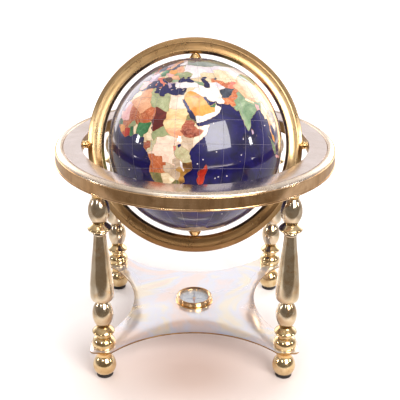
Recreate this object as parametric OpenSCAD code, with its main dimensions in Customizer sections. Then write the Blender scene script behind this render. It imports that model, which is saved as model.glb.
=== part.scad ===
// Desk globe in a swivelling meridian ring, carried by a four-legged brass
// table stand with a flat horizon ring, a concave-sided base plate and a small
// compass. Units are millimetres. Z is up and the pads stand on Z = 0. X runs
// along the swivel axis of the meridian ring. The front is towards -Y.

/* [Globe] */
// Outer radius of the globe
globe_r = 110; // [80:1:150]
// Thickness of the two shell halves
shell_t = 4; // [2:0.5:8]
// Height of the globe's centre above the table
globe_z = 268; // [240:1:320]
// Lean of the polar axis away from the front, in degrees
lean = 20.5; // [0:0.5:30]

/* [Meridian ring] */
// Outer radius of the meridian ring
mer_ro = 136.5; // [120:0.5:170]
// Inner radius of the meridian ring
mer_ri = 116; // [100:0.5:150]
// Thickness of the meridian ring along its own axis
mer_t = 11; // [6:0.5:16]
// Radius of the pole pins
pin_r = 3; // [2:0.25:5]
// Radius of the swivel journals that run in the horizon ring
jour_r = 2; // [1.5:0.1:3]
// Running clearance of each turning pin, on the radius
run_gap = 0.05; // [0.02:0.01:0.1]

/* [Horizon ring] */
// Inner radius of the horizon ring
hor_ri = 144; // [138:0.5:160]
// Outer radius of the horizon ring at its rounded lip
hor_ro = 177; // [168:0.5:200]
// Height of the horizon ring's top plate above the table
hor_top = 273.2; // [250:0.1:300]
// Height of the horizon ring's lower edge above the table
hor_bot = 257; // [240:0.5:290]
// Sheet thickness of the horizon ring
hor_t = 1.6; // [1:0.1:3]

/* [Legs] */
// Distance of each leg's axis from the middle, along X and along Y
leg_a = 113; // [100:0.5:130]
// Radius of the tie rod that runs up each leg
rod_r = 3; // [2:0.25:5]
// Largest radius of the long baluster
bal_r = 14.6; // [10:0.1:20]
// Largest radius of the egg-shaped turnings
egg_r = 12.9; // [9:0.1:18]
// Radius of the thin-rimmed discs
disc_r = 14.2; // [10:0.1:20]
// Largest radius of the foot
foot_r = 14.6; // [10:0.1:20]
// Height of the rubber pads
pad_h = 4.4; // [2:0.1:8]

/* [Base plate] */
// Half the width of the base plate across its corners' flats
plate_h = 129.5; // [118:0.5:150]
// Thickness of the base plate
plate_t = 1.8; // [1:0.1:4]
// Height of the base plate's upper face above the table
plate_z = 42; // [30:0.5:60]
// Distance of the middle of each hollow side from the centre
plate_mid = 82; // [60:0.5:110]
// Radius of each hollow side
plate_arc = 135; // [100:1:220]

/* [Compass] */
// Radius of the compass's foot flange
comp_r = 25.5; // [18:0.5:40]
// Height of the compass above the base plate
comp_h = 8.2; // [6:0.1:14]
// Reading opening of the compass's bezel
comp_open = 19.9; // [14:0.1:30]

/* [Hidden] */
$fn = 96;
gold = [0.83, 0.66, 0.36];
pale = [0.80, 0.72, 0.60];
rose = [0.86, 0.76, 0.68];
dark = [0.08, 0.08, 0.08];
steel = [0.62, 0.62, 0.64];
blue = [0.07, 0.16, 0.55];
white = [0.86, 0.89, 0.90];
fit = 0.02;

// Heights of the joints between the turned pieces of a leg.
z_foot = 28;
z_plate_lo = plate_z - plate_t;
z_cush = 56.7;
z_ldisc = 70.7;
z_legg = 106;
z_bal = 200.5;
z_udisc = 211;
z_uegg = 244.3;

// A swelling profile from (r0, z0) to (r1, z1), widest (rm) at fraction k.
function bulge(z0, z1, r0, r1, rm, k, n, p) = [for (i = [0 : n])
    let (t = i / n, z = z0 + (z1 - z0) * t,
         s = t < k ? t / k : (1 - t) / (1 - k),
         re = t < k ? r0 : r1)
    [re + (rm - re) * pow(sin(90 * s), p), z]];

module solid_turn(pts, z0, z1) {
    rotate_extrude() polygon(concat([[0, z0]], pts, [[0, z1]]));
}

module turned(pts, bore) {
    z0 = pts[0][1];
    z1 = pts[len(pts) - 1][1];
    rotate_extrude() polygon(concat([[bore, z0]], pts, [[bore, z1]]));
}

module at_leg(sx, sy) {
    translate([sx * leg_a, sy * leg_a, 0]) children();
}

module at_legs() {
    for (sx = [-1, 1]) for (sy = [-1, 1])
        translate([sx * leg_a, sy * leg_a, 0]) children();
}

// Turns the globe's own frame (poles on Z) to the leaning polar axis.
module polar() {
    translate([0, 0, globe_z]) rotate([-lean, 0, 0]) children();
}

// ---- horizon ring ----

module horizon_top_plate() {
    color(rose) translate([0, 0, hor_top - hor_t]) difference() {
        cylinder(r = hor_ri + 22.2, h = hor_t);
        translate([0, 0, -1]) cylinder(r = hor_ri - 0.4, h = hor_t + 2);
    }
}

// Raised, rounded lip that frames the top plate and carries its outer edge.
module horizon_lip() {
    zp = hor_top - hor_t;
    color(rose) rotate_extrude() polygon([
        [hor_ro - 14.2, zp - 1.6], [hor_ro - 9, zp - 1.6],
        [hor_ro - 8.2, zp - 0.4], [hor_ro - 5, zp - 0.7],
        [hor_ro - 3, zp - 1.8], [hor_ro - 1.8, zp - 3.6],
        [hor_ro - 0.1, zp - 3.6], [hor_ro - 0.4, zp - 2.4],
        [hor_ro - 1.4, zp - 0.8], [hor_ro - 3, zp + 0.8],
        [hor_ro - 5.5, zp + 2], [hor_ro - 8.4, zp + 2.4],
        [hor_ro - 9.6, zp + 1.9], [hor_ro - 10.2, zp + 0.8],
        [hor_ro - 10.6, zp], [hor_ro - 14.2, zp]]);
}

// Plain outer wall with a small bead along its lower edge.
module horizon_skirt() {
    zs = hor_top - hor_t - 3.6;
    color(rose) rotate_extrude() polygon([
        [hor_ro - hor_t, hor_bot], [hor_ro + 0.3, hor_bot],
        [hor_ro + 0.7, hor_bot + 0.6], [hor_ro + 0.7, hor_bot + 1.4],
        [hor_ro + 0.3, hor_bot + 2], [hor_ro, hor_bot + 2.3],
        [hor_ro, zs], [hor_ro - hor_t, zs]]);
}

module horizon_inner_wall() {
    color(rose) difference() {
        translate([0, 0, hor_bot])
            cylinder(r = hor_ri + hor_t, h = hor_top - hor_t - hor_bot);
        translate([0, 0, hor_bot - 1])
            cylinder(r = hor_ri, h = hor_top - hor_bot + 2);
        translate([-200, 0, globe_z]) rotate([0, 90, 0])
            cylinder(r = jour_r + run_gap, h = 400);
    }
}

module horizon_brackets() {
    color(steel) difference() {
        for (k = [45 : 90 : 315]) intersection() {
            difference() {
                translate([0, 0, hor_bot])
                    cylinder(r = hor_ro - hor_t - fit, h = 3);
                translate([0, 0, hor_bot - 1])
                    cylinder(r = hor_ri + hor_t + fit, h = 5);
            }
            rotate([0, 0, k]) translate([140, -20, hor_bot - 1])
                cube([40, 40, 5]);
        }
        at_legs() translate([0, 0, hor_bot - 1])
            cylinder(r = rod_r + 0.2, h = 5);
    }
}

// Bearing bushes behind the inner wall, one at each end of the swivel axis.
module pivot_bushes() {
    color(gold) translate([0, 0, globe_z]) for (s = [-1, 1]) rotate([0, s * 90, 0])
        translate([0, 0, hor_ri + hor_t + fit]) difference() {
            cylinder(r = jour_r + 1.3, h = 4);
            translate([0, 0, -1]) cylinder(r = jour_r + run_gap, h = 6);
        }
}

// ---- legs ----

module top_collars() {
    color(gold) at_legs() turned([
        [7.9, z_uegg], [8.1, z_uegg + 1.6], [8.6, z_uegg + 3.2],
        [9.5, z_uegg + 5], [10.7, z_uegg + 7], [12.2, z_uegg + 9.2],
        [13.6, z_uegg + 11.4], [14, hor_bot]], rod_r + 0.2);
}

module upper_egg(sx, sy) {
    color(pale) at_leg(sx, sy)
        turned(bulge(z_udisc, z_uegg, 7.4, 7.4, egg_r, 0.47, 20, 0.86), rod_r + 0.2);
}

module upper_disc(sx, sy) {
    color(pale) at_leg(sx, sy) turned([
        [7.9, z_bal], [9.2, z_bal + 0.5], [11.6, z_bal + 1.5],
        [disc_r - 0.5, z_bal + 2.7], [disc_r, z_bal + 3.7],
        [disc_r - 0.2, z_bal + 4.7], [13, z_bal + 6.1], [11.2, z_bal + 7.7],
        [9.6, z_bal + 9], [8.3, z_bal + 10], [7.8, z_udisc]], rod_r + 0.2);
}

// Long drop-shaped turning with a small neck bead at its top.
module baluster(sx, sy) {
    zt = z_bal - 4.7;
    color(pale) at_leg(sx, sy) turned([
        [6.6, z_legg], [9.4, z_legg + 0.9], [11.6, z_legg + 2.2],
        [13.2, z_legg + 4], [14.1, z_legg + 6.4], [bal_r - 0.1, z_legg + 9.4],
        [bal_r, z_legg + 13], [bal_r - 0.1, z_legg + 17],
        [14.2, z_legg + 24], [13.7, z_legg + 30], [13, z_legg + 37],
        [12.2, z_legg + 44], [11.3, z_legg + 53], [10.4, z_legg + 61],
        [9.5, z_legg + 68], [8.7, z_legg + 75], [8, z_legg + 82],
        [7.5, zt], [7.5, zt + 0.2], [8.1, zt + 1], [8.4, zt + 2.2],
        [8.1, zt + 3.5], [7.5, z_bal]], rod_r + 0.2);
}

module lower_egg(sx, sy) {
    color(pale) at_leg(sx, sy)
        turned(bulge(z_ldisc, z_legg, 6.9, 6.6, egg_r + 0.1, 0.5, 20, 0.82), rod_r + 0.2);
}

module lower_disc(sx, sy) {
    color(pale) at_leg(sx, sy) turned([
        [8.6, z_cush], [8.4, z_cush + 2], [9.2, z_cush + 3.4],
        [11.4, z_cush + 4.4], [13.2, z_cush + 5.5], [disc_r - 0.3, z_cush + 6.7],
        [disc_r - 0.5, z_cush + 7.9], [12.6, z_cush + 9.4],
        [10.8, z_cush + 11.2], [9.1, z_cush + 12.7], [7.9, z_ldisc]], rod_r + 0.2);
}

module cushion(sx, sy) {
    color(pale) at_leg(sx, sy) turned([
        [13.6, plate_z], [14.3, plate_z + 1.4], [14.6, plate_z + 3.4],
        [14.5, plate_z + 5.8], [14.1, plate_z + 8], [13.2, plate_z + 10.2],
        [11.8, plate_z + 12.2], [10, plate_z + 13.8], [8.6, z_cush]], rod_r + 0.2);
}

module foot(sx, sy) {
    color(pale) at_leg(sx, sy) difference() {
        solid_turn(bulge(pad_h, z_foot, 10.4, 9, foot_r, 0.42, 18, 0.82), pad_h, z_foot);
        translate([0, 0, 10]) cylinder(r = rod_r + fit, h = 30);
    }
}

module upper_egg_fl() { upper_egg(-1, -1); }
module upper_egg_fr() { upper_egg(1, -1); }
module upper_egg_bl() { upper_egg(-1, 1); }
module upper_egg_br() { upper_egg(1, 1); }
module upper_disc_fl() { upper_disc(-1, -1); }
module upper_disc_fr() { upper_disc(1, -1); }
module upper_disc_bl() { upper_disc(-1, 1); }
module upper_disc_br() { upper_disc(1, 1); }
module baluster_fl() { baluster(-1, -1); }
module baluster_fr() { baluster(1, -1); }
module baluster_bl() { baluster(-1, 1); }
module baluster_br() { baluster(1, 1); }
module lower_egg_fl() { lower_egg(-1, -1); }
module lower_egg_fr() { lower_egg(1, -1); }
module lower_egg_bl() { lower_egg(-1, 1); }
module lower_egg_br() { lower_egg(1, 1); }
module lower_disc_fl() { lower_disc(-1, -1); }
module lower_disc_fr() { lower_disc(1, -1); }
module lower_disc_bl() { lower_disc(-1, 1); }
module lower_disc_br() { lower_disc(1, 1); }
module cushion_fl() { cushion(-1, -1); }
module cushion_fr() { cushion(1, -1); }
module cushion_bl() { cushion(-1, 1); }
module cushion_br() { cushion(1, 1); }
module foot_fl() { foot(-1, -1); }
module foot_fr() { foot(1, -1); }
module foot_bl() { foot(-1, 1); }
module foot_br() { foot(1, 1); }

module base_collars() {
    color(gold) at_legs() turned([
        [9.2, z_foot], [8.8, z_foot + 1.6], [8.8, z_foot + 3.2],
        [9.3, z_foot + 5], [10.4, z_foot + 7], [12, z_foot + 9],
        [13.3, z_foot + 10.8], [13.8, z_plate_lo]], rod_r + 0.2);
}

module rubber_pads() {
    color(dark) at_legs() solid_turn([[9.7, 0], [10.4, 0.7], [10.4, pad_h]], 0, pad_h);
}

module tie_rods() {
    color(steel) at_legs() translate([0, 0, 10.5]) cylinder(r = rod_r, h = 256);
}

module tie_rod_nuts() {
    color(steel) at_legs() difference() {
        translate([0, 0, hor_bot + 3]) cylinder(r = 5.77, h = 5, $fn = 6);
        translate([0, 0, hor_bot]) cylinder(r = rod_r + fit, h = 12);
    }
}

// ---- base plate and compass ----

module base_plate() {
    rc = 6;
    color(pale) translate([0, 0, z_plate_lo]) linear_extrude(height = plate_t)
        difference() {
            union() {
                square([2 * plate_h - 2 * rc, 2 * plate_h], center = true);
                square([2 * plate_h, 2 * plate_h - 2 * rc], center = true);
                for (sx = [-1, 1]) for (sy = [-1, 1])
                    translate([sx * (plate_h - rc), sy * (plate_h - rc)]) circle(r = rc);
            }
            for (k = [0 : 90 : 270]) rotate([0, 0, k])
                translate([plate_mid + plate_arc, 0]) circle(r = plate_arc);
            for (sx = [-1, 1]) for (sy = [-1, 1])
                translate([sx * leg_a, sy * leg_a]) circle(r = rod_r + 0.2);
            circle(r = 3 + fit);
        }
}

module compass_bowl() {
    wall = comp_r - 2.1;
    color(gold) difference() {
        rotate_extrude() polygon([
            [0, plate_z - 6.4], [3, plate_z - 6.4], [3, plate_z],
            [comp_r, plate_z], [comp_r, plate_z + 0.9], [comp_r - 0.7, plate_z + 1.5],
            [wall, plate_z + 1.8], [wall, plate_z + 6], [comp_open + 1.5, plate_z + 6],
            [comp_open + 1.5, plate_z + 4.6], [comp_open + 0.7, plate_z + 4.6],
            [comp_open + 0.7, plate_z + 2], [0, plate_z + 2]]);
        translate([0, 0, plate_z + 0.8]) cylinder(r = 0.6 + fit, h = 3);
    }
}

module compass_bezel() {
    zb = plate_z + 6;
    zt = plate_z + comp_h;
    color(gold) rotate_extrude() polygon([
        [comp_open, zb], [comp_r - 2.1, zb], [comp_r - 1.6, zb + 0.5],
        [comp_r - 1.7, zt - 0.8], [comp_r - 2.5, zt - 0.1], [comp_r - 3.3, zt],
        [comp_open + 1.2, zt - 0.4], [comp_open, zt - 1.4]]);
}

module compass_glass() {
    color([0.85, 0.93, 0.95, 0.35]) translate([0, 0, plate_z + 4.6])
        cylinder(r = comp_open + 1.45, h = 1.4);
}

module compass_dial() {
    color(white) translate([0, 0, plate_z + 2]) difference() {
        cylinder(r = comp_open + 0.6, h = 0.4);
        translate([0, 0, -1]) cylinder(r = 0.7, h = 2);
    }
}

module compass_pivot() {
    color(steel) translate([0, 0, plate_z + 0.82]) cylinder(r = 0.6, h = 2.9);
}

module compass_nut() {
    color(steel) translate([0, 0, z_plate_lo - 3.6]) difference() {
        cylinder(r = 5.77, h = 3.6, $fn = 6);
        translate([0, 0, -1]) cylinder(r = 3 + fit, h = 6);
    }
}

// Flat lozenge with a hub whose blind hole rides on the pivot.
module compass_needle() {
    color(dark) difference() {
        union() {
            translate([0, 0, plate_z + 3.2]) linear_extrude(height = 0.4)
                polygon([[-2.1, 0], [0, -16.6], [2.1, 0], [0, 16.6]]);
            translate([0, 0, plate_z + 3]) cylinder(r = 1.9, h = 1.1);
        }
        translate([0, 0, plate_z + 2]) cylinder(r = 0.6 + run_gap, h = 1.85);
    }
}

// ---- meridian ring ----

module meridian_section() {
    h = mer_t / 2;
    half = [
        [mer_ri, h - 2.3], [mer_ri + 2.6, h - 0.3], [mer_ri + 3, h],
        [mer_ri + 4, h], [mer_ri + 4.4, h - 0.5], [mer_ri + 8.8, h - 0.9],
        [mer_ri + 13.2, h - 0.5], [mer_ri + 13.6, h], [mer_ri + 14.7, h],
        [mer_ri + 15.1, h - 0.4], [mer_ro - 1.6, h - 2.9], [mer_ro, h - 3.9]];
    n = len(half);
    polygon(concat(half, [for (i = [n - 1 : -1 : 0]) [half[i][0], -half[i][1]]]));
}

module meridian_ring() {
    color(gold) polar() difference() {
        rotate([90, 0, 0]) rotate_extrude() meridian_section();
        for (s = [0, 1]) mirror([0, 0, s]) {
            translate([0, 0, mer_ri - 4]) cylinder(r = pin_r + fit, h = 40);
            translate([0, 0, mer_ro - 4.5]) cylinder(r = pin_r + 1.4 + fit, h = 10);
        }
        for (s = [0, 1]) mirror([s, 0, 0]) rotate([0, 90, 0])
            translate([0, 0, mer_ro - 10]) cylinder(r = pin_r + fit, h = 20);
    }
}

// Turned knob between the two rings with a spigot in the meridian ring and a
// journal that runs in the horizon ring's inner wall.
module pivot_knob(s) {
    color(gold) translate([0, 0, globe_z]) rotate([0, s * 90, 0]) rotate_extrude() polygon([
        [0, mer_ro - 9.8], [pin_r, mer_ro - 9.8], [pin_r, mer_ro],
        [4.4, mer_ro], [5, mer_ro + 0.7], [5, mer_ro + 2.2],
        [4.5, mer_ro + 3], [4.5, mer_ro + 4.2], [5, mer_ro + 5],
        [5, hor_ri - 1.3], [4.6, hor_ri - 0.9], [jour_r, hor_ri - 0.9],
        [jour_r, hor_ri + 10.5], [jour_r - 0.5, hor_ri + 11], [0, hor_ri + 11]]);
}

module pivot_knob_left() { pivot_knob(-1); }
module pivot_knob_right() { pivot_knob(1); }

module pivot_nuts() {
    color(steel) translate([0, 0, globe_z]) for (s = [-1, 1]) rotate([0, s * 90, 0])
        translate([0, 0, hor_ri + 6.2]) difference() {
            cylinder(r = 3.3, h = 3, $fn = 6);
            translate([0, 0, -1]) cylinder(r = jour_r + fit, h = 6);
        }
}

module pole_pin() {
    color(gold) difference() {
        union() {
            translate([0, 0, globe_r - 10.5]) cylinder(r = pin_r, h = mer_ro - globe_r + 6.2);
            translate([0, 0, mer_ro - 4.4]) cylinder(r = pin_r + 1.4, h = 4.1);
        }
        translate([-6, -0.5, mer_ro - 1.2]) cube([12, 1, 2]);
    }
}

module pole_pin_north() { polar() pole_pin(); }
module pole_pin_south() { polar() mirror([0, 0, 1]) pole_pin(); }

// ---- globe ----

module globe_half() {
    color(blue) difference() {
        sphere(r = globe_r);
        sphere(r = globe_r - shell_t);
        translate([-200, -200, -400]) cube([400, 400, 400]);
        translate([0, 0, globe_r - 20]) cylinder(r = 6 + fit, h = 40);
    }
}

module globe_shell_north() { polar() globe_half(); }
module globe_shell_south() { polar() mirror([0, 0, 1]) globe_half(); }

module globe_joint_band() {
    rb = globe_r - shell_t;
    color(steel) polar() rotate_extrude() polygon([
        [rb - 4, -8], [rb - 0.36, -8], [rb - 0.06, 0], [rb - 0.36, 8], [rb - 4, 8]]);
}

module globe_core_tube() {
    ht = globe_r - shell_t - 0.45;
    color(steel) polar() difference() {
        cylinder(r = 8, h = 2 * ht, center = true);
        cylinder(r = 6 + fit, h = 2 * ht + 2, center = true);
    }
}

// Cone that fills the gap between globe and meridian ring at each pole.
module pole_bushing() {
    color(gold) difference() {
        rotate_extrude() polygon([
            [pin_r + run_gap, globe_r - 14], [6, globe_r - 14], [6, globe_r - 2],
            [8.3, globe_r - 2], [8.3, globe_r + 0.5], [7.9, globe_r + 0.9],
            [5.3, mer_ri - 1], [4.9, mer_ri - 0.6], [pin_r + run_gap, mer_ri - 0.6]]);
        difference() {
            sphere(r = globe_r);
            cylinder(r = 6, h = 300, center = true);
        }
    }
}

module pole_bushing_north() { polar() pole_bushing(); }
module pole_bushing_south() { polar() mirror([0, 0, 1]) pole_bushing(); }

horizon_top_plate();
horizon_lip();
horizon_skirt();
horizon_inner_wall();
horizon_brackets();
pivot_bushes();
top_collars();
upper_egg_fl();
upper_egg_fr();
upper_egg_bl();
upper_egg_br();
upper_disc_fl();
upper_disc_fr();
upper_disc_bl();
upper_disc_br();
baluster_fl();
baluster_fr();
baluster_bl();
baluster_br();
lower_egg_fl();
lower_egg_fr();
lower_egg_bl();
lower_egg_br();
lower_disc_fl();
lower_disc_fr();
lower_disc_bl();
lower_disc_br();
cushion_fl();
cushion_fr();
cushion_bl();
cushion_br();
foot_fl();
foot_fr();
foot_bl();
foot_br();
base_collars();
rubber_pads();
tie_rods();
tie_rod_nuts();
base_plate();
compass_bowl();
compass_bezel();
compass_glass();
compass_dial();
compass_pivot();
compass_nut();
compass_needle();
meridian_ring();
pivot_knob_left();
pivot_knob_right();
pivot_nuts();
pole_pin_north();
pole_pin_south();
globe_shell_north();
globe_shell_south();
globe_joint_band();
globe_core_tube();
pole_bushing_north();
pole_bushing_south();
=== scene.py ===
# Desk globe on a four-legged brass stand: the looks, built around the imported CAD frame.
import bpy
import bmesh
import math
import random
import numpy as np
from mathutils import Matrix, Vector, geometry


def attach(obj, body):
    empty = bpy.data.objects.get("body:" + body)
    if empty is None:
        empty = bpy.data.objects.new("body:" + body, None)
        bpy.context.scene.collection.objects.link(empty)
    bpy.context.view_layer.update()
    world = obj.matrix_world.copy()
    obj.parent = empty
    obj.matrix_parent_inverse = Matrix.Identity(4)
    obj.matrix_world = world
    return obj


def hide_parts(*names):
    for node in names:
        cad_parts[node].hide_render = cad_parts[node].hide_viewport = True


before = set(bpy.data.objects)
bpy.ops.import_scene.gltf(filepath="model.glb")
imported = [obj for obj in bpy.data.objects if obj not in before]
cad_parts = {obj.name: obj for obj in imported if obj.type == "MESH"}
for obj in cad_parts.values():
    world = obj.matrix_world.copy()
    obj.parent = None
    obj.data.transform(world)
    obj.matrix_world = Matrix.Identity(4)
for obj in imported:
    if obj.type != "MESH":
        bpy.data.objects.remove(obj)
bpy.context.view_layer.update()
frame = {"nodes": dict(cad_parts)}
random.seed(11)
MM = 0.001
LEAN = math.radians(20.5)
GZ = 0.268
GR = 0.110
LEG = 0.113
CENTRE = Vector((0, 0, GZ))
POLAR = Matrix.Translation(CENTRE) @ Matrix.Rotation(-LEAN, 4, "X")
LON0 = 42.8
ident = Matrix.Identity(4)


# ---------------------------------------------------------------- camera
def make_camera():
    az, el, roll = (math.radians(a) for a in (-0.359, 22.213, 0.383))
    back = Vector((math.sin(az) * math.cos(el), -math.cos(az) * math.cos(el), math.sin(el)))
    fwd = -back
    right = fwd.cross(Vector((0, 0, 1))).normalized()
    up = right.cross(fwd)
    r2 = right * math.cos(roll) + up * math.sin(roll)
    u2 = -right * math.sin(roll) + up * math.cos(roll)
    loc = Vector((0, 0, 0.220)) + back * 1.13523
    m = Matrix(((r2.x, u2.x, back.x, loc.x), (r2.y, u2.y, back.y, loc.y),
                (r2.z, u2.z, back.z, loc.z), (0, 0, 0, 1)))
    cam = bpy.data.objects.new("camera", bpy.data.cameras.new("camera"))
    bpy.context.scene.collection.objects.link(cam)
    cam.matrix_world = m
    cam.data.sensor_width = 36
    cam.data.lens = 877.07 / 400 * 36
    cam.data.shift_x = 0.01264
    cam.data.shift_y = -0.05049
    cam.data.dof.use_dof = False
    cam.data.clip_start = 0.05
    cam.data.clip_end = 60
    bpy.context.scene.camera = cam


make_camera()


# ---------------------------------------------------------------- shader helpers
def lin(c):
    out = []
    for v in c[:3]:
        v = v / 255.0
        out.append(v / 12.92 if v <= 0.04045 else ((v + 0.055) / 1.055) ** 2.4)
    return tuple(out) + (1.0,)


class Mat:
    """Small node-tree builder around one Principled shader."""

    def __init__(self, name):
        self.m = bpy.data.materials.new(name)
        self.m.use_nodes = True
        self.t = self.m.node_tree
        self.n = self.t.nodes
        self.bsdf = self.n["Principled BSDF"]
        self.coord = None

    def node(self, kind, **kw):
        x = self.n.new(kind)
        for k, v in kw.items():
            setattr(x, k, v)
        return x

    def link(self, a, b):
        self.t.links.new(a, b)

    def obj(self):
        if self.coord is None:
            self.coord = self.node("ShaderNodeTexCoord")
        return self.coord.outputs["Object"]

    def mapping(self, scale=(1, 1, 1), loc=(0, 0, 0), rot=(0, 0, 0), src=None):
        x = self.node("ShaderNodeMapping")
        x.inputs["Scale"].default_value = scale
        x.inputs["Location"].default_value = loc
        x.inputs["Rotation"].default_value = rot
        self.link(src if src is not None else self.obj(), x.inputs["Vector"])
        return x.outputs["Vector"]

    def noise(self, scale, detail=4, rough=0.55, vec=None, dist=0.0):
        x = self.node("ShaderNodeTexNoise")
        x.inputs["Scale"].default_value = scale
        x.inputs["Detail"].default_value = detail
        x.inputs["Roughness"].default_value = rough
        x.inputs["Distortion"].default_value = dist
        self.link(vec if vec is not None else self.obj(), x.inputs["Vector"])
        return x.outputs["Fac"]

    def voronoi(self, scale, vec=None, feature="F1", out="Distance"):
        x = self.node("ShaderNodeTexVoronoi", feature=feature)
        x.inputs["Scale"].default_value = scale
        self.link(vec if vec is not None else self.obj(), x.inputs["Vector"])
        return x.outputs[out]

    def ramp(self, fac, stops, interp="LINEAR"):
        x = self.node("ShaderNodeValToRGB")
        r = x.color_ramp
        r.interpolation = interp
        while len(r.elements) < len(stops):
            r.elements.new(0.5)
        for e, (p, c) in zip(r.elements, stops):
            e.position = p
            e.color = c if len(c) == 4 else tuple(c) + (1.0,)
        self.link(fac, x.inputs["Fac"])
        return x.outputs["Color"]

    def rng(self, fac, a, b, c, d):
        x = self.node("ShaderNodeMapRange")
        for k, v in zip(("From Min", "From Max", "To Min", "To Max"), (a, b, c, d)):
            x.inputs[k].default_value = v
        self.link(fac, x.inputs["Value"])
        return x.outputs["Result"]

    def math(self, op, a, b=None):
        x = self.node("ShaderNodeMath", operation=op)
        for i, v in enumerate((a, b)):
            if v is None:
                continue
            if isinstance(v, (int, float)):
                x.inputs[i].default_value = v
            else:
                self.link(v, x.inputs[i])
        return x.outputs[0]

    def mix(self, fac, a, b, blend="MIX"):
        x = self.node("ShaderNodeMix", data_type="RGBA", blend_type=blend)
        if isinstance(fac, (int, float)):
            x.inputs["Factor"].default_value = fac
        else:
            self.link(fac, x.inputs["Factor"])
        for s, v in (("A", a), ("B", b)):
            sock = [i for i in x.inputs if i.name == s and i.type == "RGBA"][0]
            if isinstance(v, tuple):
                sock.default_value = v if len(v) == 4 else v + (1.0,)
            else:
                self.link(v, sock)
        return [o for o in x.outputs if o.type == "RGBA"][0]

    def bump(self, height, strength, distance):
        x = self.node("ShaderNodeBump")
        x.inputs["Strength"].default_value = strength
        x.inputs["Distance"].default_value = distance
        self.link(height, x.inputs["Height"])
        self.link(x.outputs["Normal"], self.bsdf.inputs["Normal"])
        return x.outputs["Normal"]

    def set(self, **kw):
        names = {"metal": "Metallic", "rough": "Roughness", "coat": "Coat Weight",
                 "coat_rough": "Coat Roughness", "ior": "IOR", "spec": "Specular IOR Level",
                 "trans": "Transmission Weight", "alpha": "Alpha", "aniso": "Anisotropic",
                 "coat_ior": "Coat IOR"}
        for k, v in kw.items():
            self.bsdf.inputs[names[k]].default_value = v
        return self

    def color(self, sock):
        if isinstance(sock, tuple):
            self.bsdf.inputs["Base Color"].default_value = sock
        else:
            self.link(sock, self.bsdf.inputs["Base Color"])

    def roughness(self, sock):
        self.link(sock, self.bsdf.inputs["Roughness"])


def brass(name, c_hi, c_lo, rough=(0.10, 0.2), tarnish=None, brushed=None, stain=0.35,
          stain_scale=22.0, micro=0.25):
    """Plated brass: slow colour drift, stain blotches, fine wear, and turning or brushing lines; on the meridian ring
    also painted shade, darker at the top and bottom.
    """
    k = Mat(name)
    k.set(metal=1.0)
    slow = k.noise(stain_scale, 3, 0.6, dist=0.6)
    col = k.ramp(slow, [(0.34, lin(c_lo)), (0.62, lin(c_hi))])
    if tarnish is not None:
        blot = k.noise(stain_scale * 1.9, 5, 0.62, k.mapping(loc=(0.31, 0.17, 0.05)), dist=1.2)
        mask = k.rng(blot, 0.52, 0.74, 0.0, stain)
        col = k.mix(mask, col, lin(tarnish))
    k.color(col)
    fine = k.noise(420, 4, 0.6)
    smear = k.noise(58, 4, 0.6, k.mapping(scale=(1, 1, 0.35), loc=(0.2, 0.4, 0.1)), dist=0.8)
    ro = k.math("MULTIPLY", fine, 0.35)
    ro = k.math("ADD", ro, k.math("MULTIPLY", smear, 0.65))
    k.roughness(k.rng(ro, 0.35, 0.65, rough[0], rough[1]))
    if brushed == "turned":
        # turning lines around a vertical axis
        v = k.mapping(scale=(18, 18, 2600))
        lines = k.noise(1.0, 2, 0.5, v)
        h = k.math("ADD", k.math("MULTIPLY", lines, 0.5), k.math("MULTIPLY", k.noise(900, 2, 0.5), 0.25))
        k.bump(h, micro, 0.00002)
    elif brushed == "ring_z" or brushed == "ring_y":
        # circular brushing about the vertical axis or about the meridian ring's own axis
        sep = k.node("ShaderNodeSeparateXYZ")
        if brushed == "ring_y":
            back = POLAR.inverted()
            src = k.mapping(rot=tuple(back.to_euler()), loc=tuple(back.translation))
        else:
            src = k.obj()
        k.link(src, sep.inputs[0])
        a = sep.outputs["X"]
        b = sep.outputs["Y"] if brushed == "ring_z" else sep.outputs["Z"]
        c = sep.outputs["Z"] if brushed == "ring_z" else sep.outputs["Y"]
        rad = k.math("SQRT", k.math("ADD", k.math("MULTIPLY", a, a), k.math("MULTIPLY", b, b)))
        comb = k.node("ShaderNodeCombineXYZ")
        k.link(k.math("MULTIPLY", rad, 620), comb.inputs[0])
        k.link(k.math("MULTIPLY", k.math("ARCTAN2", b, a), 1.3), comb.inputs[1])
        k.link(k.math("MULTIPLY", c, 620), comb.inputs[2])
        lines = k.noise(1.0, 1, 0.5, comb.outputs[0])
        k.bump(lines, micro, 0.00003)
        col2 = k.mix(k.rng(lines, 0.3, 0.7, 0.0, 0.22), col, lin(c_lo))
        if brushed == "ring_y":
            wide = k.noise(1.0, 1, 0.5, k.mapping(scale=(0.45, 0.5, 0.45), src=comb.outputs[0]))
            col2 = k.mix(k.rng(wide, 0.40, 0.66, 0.0, 0.62), col2, lin((190, 156, 106)))
            # painted shade: the meridian ring's colour darkens towards its top and bottom (side is the height along the
            # ring from its middle), and more towards the bottom
            side = k.math("ABSOLUTE", b)
            col2 = k.mix(k.rng(side, 0.045, 0.118, 0.0, 0.85), col2, lin((160, 124, 82)))
            painted_shade_low = k.math("MULTIPLY", b, -1.0)
            col2 = k.mix(k.rng(painted_shade_low, 0.04, 0.10, 0.0, 0.8), col2, lin((140, 106, 68)))
        if name == "rose_brass_skirt":
            up = k.node("ShaderNodeCombineXYZ")
            k.link(k.math("MULTIPLY", k.math("ARCTAN2", b, a), 20.0), up.inputs[0])
            k.link(k.math("MULTIPLY", c, 16.0), up.inputs[1])
            streak = k.noise(1.0, 3, 0.6, up.outputs[0])
            col2 = k.mix(k.rng(streak, 0.46, 0.72, 0.0, 0.32), col2, lin((150, 116, 78)))
            col2 = k.mix(k.rng(streak, 0.44, 0.26, 0.0, 0.22), col2, lin((240, 218, 190)))
        k.color(col2)
    else:
        k.bump(k.noise(700, 3, 0.5), micro * 0.5, 0.00001)
    return k.m


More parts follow.
